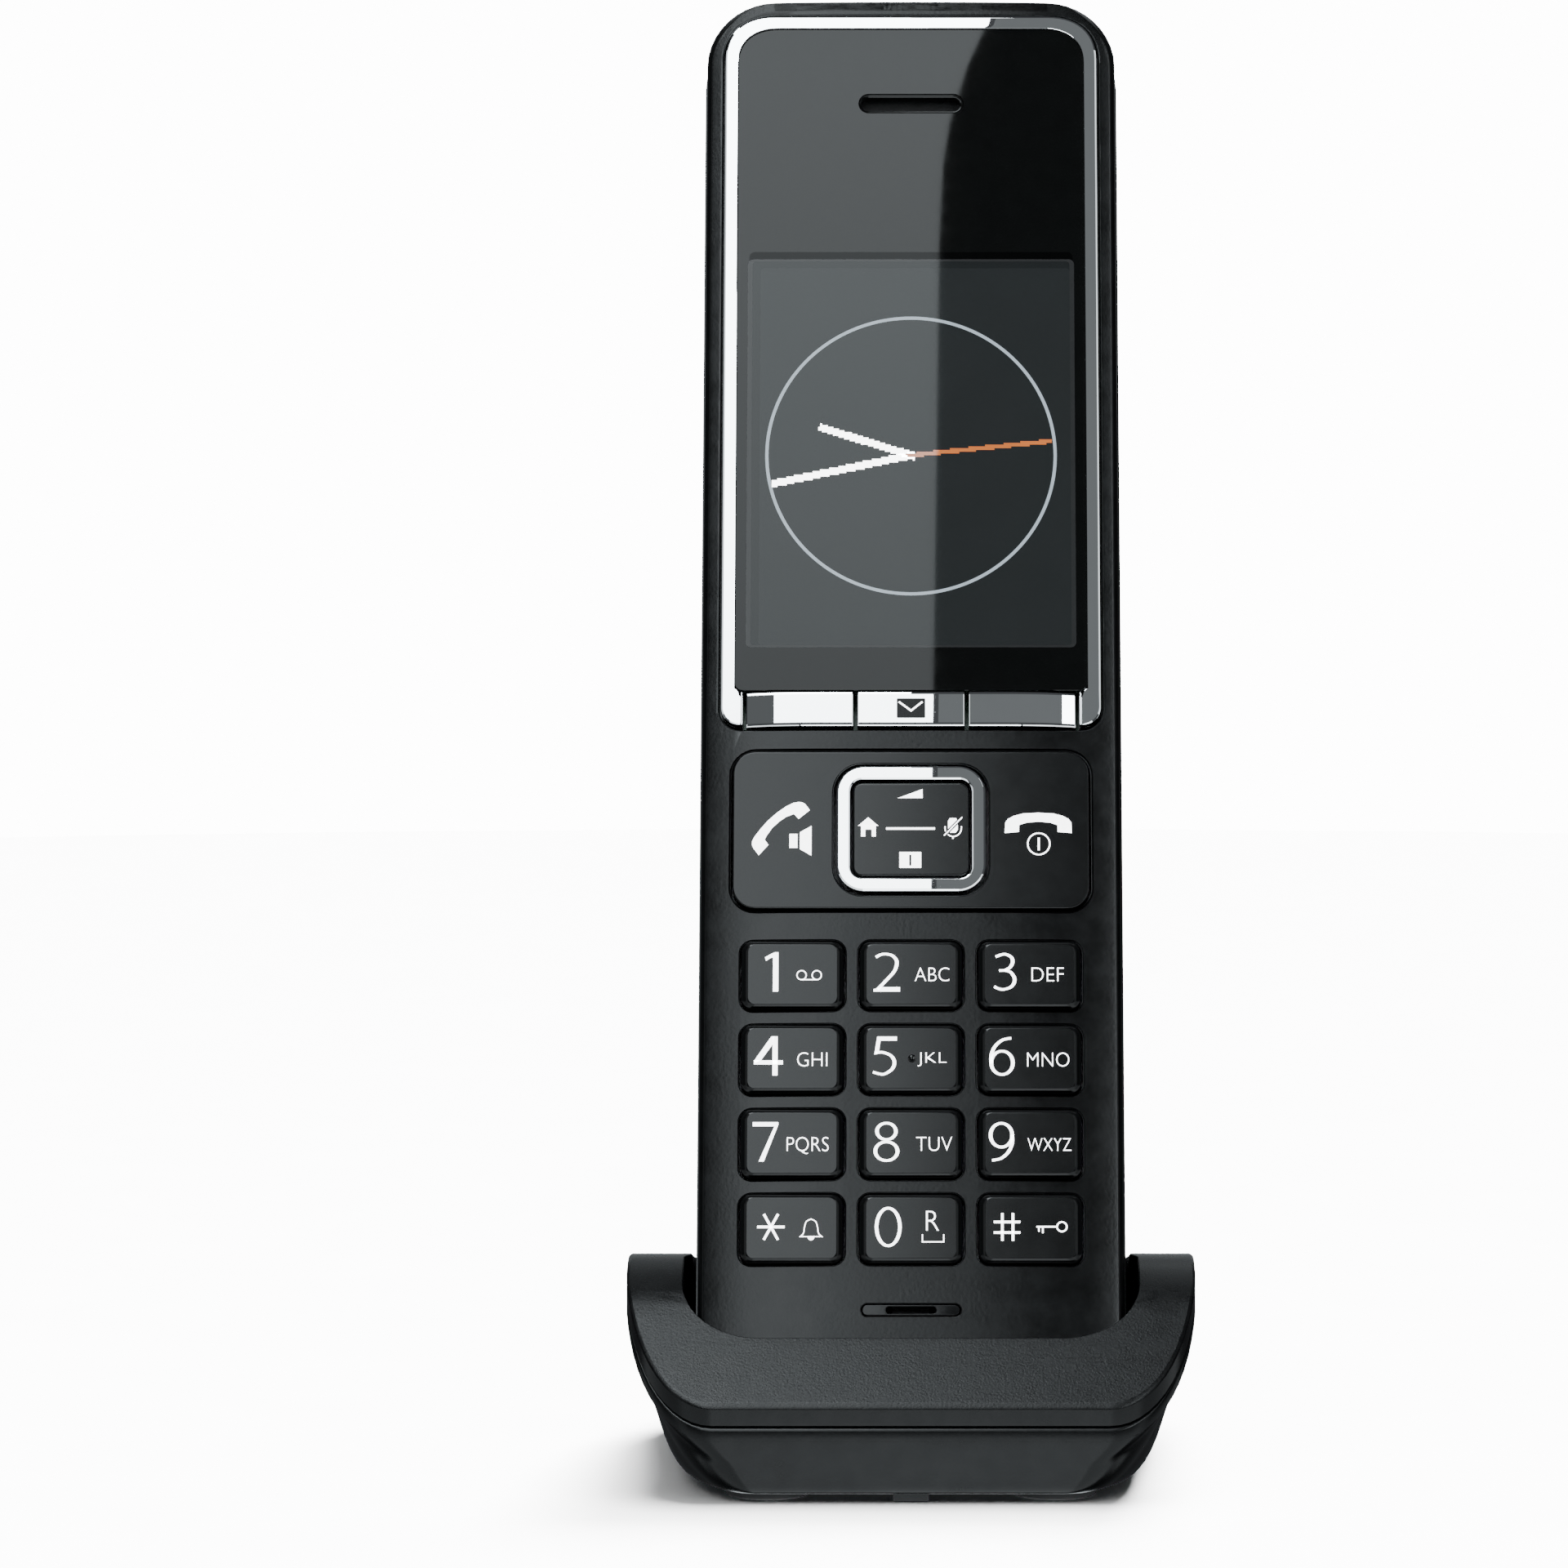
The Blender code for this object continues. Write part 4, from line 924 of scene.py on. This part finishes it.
def cradle_shells():
    rows = [under_top(plan(0.38), 0), under_top(plan(0.35), 0.01), under_top(plan(0.14), 0.13),
            under_top(plan(0.04), 0.22), under_top(plan(0), 0.34), under_top(plan(0), SEAM_DROP - 0.15),
            under_top(plan(0.12), SEAM_DROP), under_top(plan(1.5), SEAM_DROP), under_top(plan(1.5), 1.5)]
    cover = loft("cradle_cover", [rows], [CRADLE_TOP, TUB], CRADLE, split=4, sharp=40)
    well = cutter("well", pocket_rows(1.4, -1.8, [(0.6, 0)]), place=CRADLE)
    carve(cover, well, operation="UNION", sharp=40)
    lip = [(0.42, 0), (0.24, 0.02), (0.11, 0.06), (0.04, 0.12), (-0.01, 0.2), (-1, 0.24), (-40, 0.24)]
    carve(cover, cutter("pocket", pocket_rows(0, -0.4, lip), place=CRADLE), sharp=40)
    shown(cover, "cradle", "cradle_top_cover")
    blockers.objects.link(cover)

    seam = SEAM_DROP + 0.3
    rows = [tub_row(0.5 - 0.5 * cos(pi * step / 16)) for step in range(17)]
    rows += [under_top(plan(0), seam + 1.2), under_top(plan(0), seam + 0.2), under_top(plan(0.15), seam),
             under_top(plan(1.7), seam)]
    for share in (0.9, 0.5, 0.16):
        rows.append([(x * 0.94, 1.6 + y * 0.947, max(z, 2.4)) for x, y, z in tub_row(share)])
    tub = loft("cradle_base", [rows], [TUB], CRADLE, sharp=40)
    carve(tub, cradle_box((-1.9, 1.6, 0.15), (1.9, 6, 1.6)), operation="UNION", sharp=40)
    drills = [cradle_box((-4.2, 52, 2.9), (4.2, 66, 6.5))]
    for x in (-18, 18):
        hole = [[(*point, z) for point in circle((x, 43), 2.8)] for z in (-1, 2)]
        drills.append(loft("drill", [hole], [], CRADLE))
    carve(tub, *drills, sharp=40)
    shown(tub, "cradle", "cradle_bottom_shell")
    blockers.objects.link(tub)

    for name in ("foot_front_left", "foot_front_right", "foot_rear_left", "foot_rear_right"):
        low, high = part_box(name)
        x, y = (low.x + high.x) / 2 / MM, (low.y + high.y) / 2 / MM
        radius = (high.x - low.x) / 2 / MM - 0.2
        x -= copysign(2.2, x)
        rows = [[(*point, z) for point in circle((x, y), radius - less, 10)]
                for less, z in ((0.35, 0), (0.1, 0.08), (0, 0.25), (0, 0.95))]
        shown(loft(name.replace("foot", "pad"), [rows], [RUBBER], Matrix.Identity(4)), "cradle", name)


# ---------------- carried-over nodes

CARRIED = (
    (SMOOTH, "display_module"),
    (TEXTURED, "handset_rear_shell"),
    (GLOSS, "power_socket"),
    (SILICONE, "nav_carrier nav_actuator keypad_mat"),
    (MESH, "microphone earpiece_grille"),
    (BOARD, "main_board charge_board"),
    (SLEEVE, "battery_cell_left battery_cell_right"),
    (METAL, "earpiece_receiver hands_free_speaker battery_spring_left battery_spring_right "
            "battery_plate_left battery_plate_right charge_contact_left charge_contact_right "
            "cradle_screw_left cradle_screw_right charge_pin_left charge_pin_right"),
)


def carried_nodes():
    for material, names in CARRIED:
        for name in names.split():
            materials = nodes[name].data.materials
            materials.clear()
            materials.append(material)


# ---------------- camera, light and floor

CAMERA_FROM_FRONT = (0, -705.6, 125.8)
CAMERA_DOWN = radians(4)
REFLECTION_EDGE = ((12, 185), (10.5, 170), (9.4, 162), (8.66, 155.25), (6.35, 149.9), (4.33, 143.11),
                   (3.6, 138.29), (3.13, 128.68), (2.84, 103.99), (2.45, 77.85), (2.2, 60), (2, 0),
                   (1.8, -60))
CARD_DISTANCE = 520
CARD_TINT = (0.9, 0.97, 1)
FLOOR_GLOW = 14
blockers = bpy.data.collections.new("shades_the_floor")


def camera_at():
    data = bpy.data.cameras.new("camera")
    data.lens = 154.7
    data.sensor_width = 36
    data.shift_x = -0.081
    data.clip_start = 0.01
    made = add_object("camera", data, CRADLE @ Matrix.Translation(Vector(CAMERA_FROM_FRONT) * MM)
                      @ Matrix.Rotation(radians(90) - CAMERA_DOWN, 4, "X"))
    bpy.context.scene.camera = made
    return made.matrix_world.translation


def glow(name, strength, low=None):
    """Glow of one strength, or, given (its strength, height, height), one that grows up the card."""
    made = bpy.data.materials.new(name)
    made.use_nodes = True
    tree = made.node_tree
    tree.nodes.clear()
    add, link = tree.nodes.new, tree.links.new
    light = add("ShaderNodeEmission")
    fill(light, {"Color": (*CARD_TINT, 1), "Strength": strength})
    if low is not None:
        place = add("ShaderNodeTexCoord")
        split = add("ShaderNodeSeparateXYZ")
        grade = add("ShaderNodeMapRange")
        fill(grade, dict(zip(("To Min", "From Min", "From Max", "To Max"), (*low, strength))))
        link(place.outputs["Object"], split.inputs["Vector"])
        link(split.outputs["Z"], grade.inputs["Value"])
        link(grade.outputs["Result"], light.inputs["Strength"])
    link(light.outputs["Emission"], add("ShaderNodeOutputMaterial").inputs["Surface"])
    return made


def card(name, corners, strength, low=None):
    """A glowing studio card that the camera doesn't see, given by world points in metres."""
    mesh = bpy.data.meshes.new(name)
    mesh.from_pydata([tuple(corner) for corner in corners], [], [list(range(len(corners)))])
    mesh.materials.append(glow(name, strength, low))
    made = add_object(name, mesh)
    made.visible_camera = False
    made.visible_shadow = False
    made.visible_diffuse = False


def wall(name, start, end, heights, strength):
    """A standing card between two floor points."""
    low, high = heights
    card(name, [(*start, low), (*end, low), (*end, high), (*start, high)], strength)


def sheet_card(name, x, y, z, strength):
    """A level or tilted card. Each range is (low, high), and z goes with y."""
    card(name, [(x[0], y[0], z[0]), (x[1], y[0], z[0]), (x[1], y[1], z[1]), (x[0], y[1], z[1])], strength)


def edge_card(name, azimuth, strength, distance=0.8, width=0.22):
    """A narrow standing card at an azimuth in degrees to the right of straight ahead of the phone."""
    ahead, right = cos_sin(azimuth)
    middle = Vector((right, -ahead)) * distance
    side = Vector((ahead, right)) * width / 2
    wall(name, middle - side, middle + side, (0, 1), strength)


def hidden_light(name, data, towards, at=(0, 0, 0)):
    """A lamp that shines from towards and doesn't show in reflections."""
    made = add_object(name, data)
    made.location = at
    made.rotation_euler = (-Vector(towards)).to_track_quat("-Z", "Y").to_euler()
    made.visible_glossy = False
    return made


def floor_sun(name, share, spread, source, receivers):
    """Soft even light on the floor alone, shaded by the cradle. The shares of all suns add up to 1."""
    light = bpy.data.lights.new(name, "SUN")
    towards = Vector(source).normalized()
    light.energy = share * FLOOR_GLOW * pi / (FLOOR_ALBEDO * towards.z)
    light.angle = radians(spread)
    linking = hidden_light(name, light, towards).light_linking
    linking.receiver_collection = receivers
    linking.blocker_collection = blockers


def studio(eye):
    """A large card on the left whose edge shows in the lens, a weak one on the right, strips and a floor."""
    face = HANDSET.to_3x3() @ Vector((0, -1, 0))
    middle = HANDSET @ (Vector((0, LENS_Y, 90)) * MM)
    towards = (middle - eye).normalized().reflect(face)
    centre_point = middle + towards * CARD_DISTANCE * MM

    def mirrored(x, z):
        """Where the camera's view of a lens point lands on the card's plane."""
        point = HANDSET @ (Vector((x, LENS_Y, z)) * MM)
        ray = (point - eye).normalized().reflect(face)
        return point + ray * (centre_point - point).dot(towards) / ray.dot(towards)

    edge = [mirrored(x, z) for x, z in REFLECTION_EDGE]
    first, last = edge[0], edge[-1]
    high, low = mirrored(0, 150).z, mirrored(0, 70).z
    left, gap, right, far_right = (Vector((x, 0, 0)) for x in (-0.155, 0.001, 0.203, 0.293))
    card("left_card", edge + [last + left, first + left], 12, (7.4, low, high))
    card("left_grey", [first + left, last + left, last + left * 2.2, first + left * 2.2], 0.11)
    card("right_card", [point + gap for point in edge] + [last + right, first + right], 0.17)
    card("right_strip", [first + right, last + right, last + far_right, first + far_right], 12)
    edge_card("left_edge", -52, 1.2)
    edge_card("right_edge", 52, 1.4)
    sheet_card("top_card", (-0.4, 0), (-0.55, -0.11), (0.75, 0.75), 15)
    wall("back_card", (-0.6, 1.2), (0.6, 1.2), (0.1, 1), 0.5)
    sheet_card("under_card", (-0.06, 0.06), (-1, -0.1), (-0.8, -0.6), 5.6)
    wall("front_low_card", (-0.065, -1), (0.06, -1), (-0.8, -0.03), 5.6)
    sheet_card("rear_under_card", (-0.25, 0.25), (0.3, 0.95), (-0.7, -0.7), 4.5)
    for side, above, below in ((-1, 0.7, 2), (1, 1.3, 2.6)):
        sheet_card("roof_card", (0, side * 0.6), (0.1, 1.2), (0.75, 1), above)
        near, far = side * 0.065, side * 0.9
        wall("low_side_card", (near, -1), (far, -0.6), (-0.8, -0.03), below)
        wall("side_low_card", (far, -0.6), (far, 0.5), (-0.8, -0.03), below * 0.5)
        sheet_card("under_side_card", (near, far), (-1, -0.1), (-0.8, -0.6), below)
    light = bpy.data.lights.new("soft_top", "AREA")
    light.energy = 9
    light.size = 1.3
    above_front = (-0.15, -0.3, 0.9)
    hidden_light("soft_top", light, above_front, above_front)

    world = bpy.data.worlds.new("studio")
    bpy.context.scene.world = world
    world.use_nodes = True
    tree = world.node_tree
    background = tree.nodes["Background"]
    path = tree.nodes.new("ShaderNodeLightPath")
    seen = tree.nodes.new("ShaderNodeMix")
    seen.data_type = "RGBA"
    fill(seen, {"A": (0.060, 0.064, 0.068, 1), "B": (FLOOR_GLOW, FLOOR_GLOW, FLOOR_GLOW, 1)})
    tree.links.new(path.outputs["Is Camera Ray"], seen.inputs["Factor"])
    tree.links.new(seen.outputs["Result"], background.inputs["Color"])

    bm = bmesh.new()
    bmesh.ops.create_circle(bm, cap_ends=True, segments=96, radius=0.9)
    floor = finish_mesh("floor", bm, [FLOOR], Matrix.Identity(4))
    floor.visible_glossy = False
    floor.visible_diffuse = False
    receivers = bpy.data.collections.new("floor_only")
    receivers.objects.link(floor)
    floor_sun("sun_above", 0.25, 34, (0.1, 0.14, 1), receivers)
    floor_sun("sun_behind", 0.25, 34, (0.2, 0.7, 1), receivers)
    floor_sun("sun_low", 0.5, 24, (0.4, 1.4, 1), receivers)


eye = camera_at()
front_shell()
rear_pieces()
chrome_frame()
display()
keys()
navigation()
small_openings()
cradle_shells()
carried_nodes()
studio(eye)
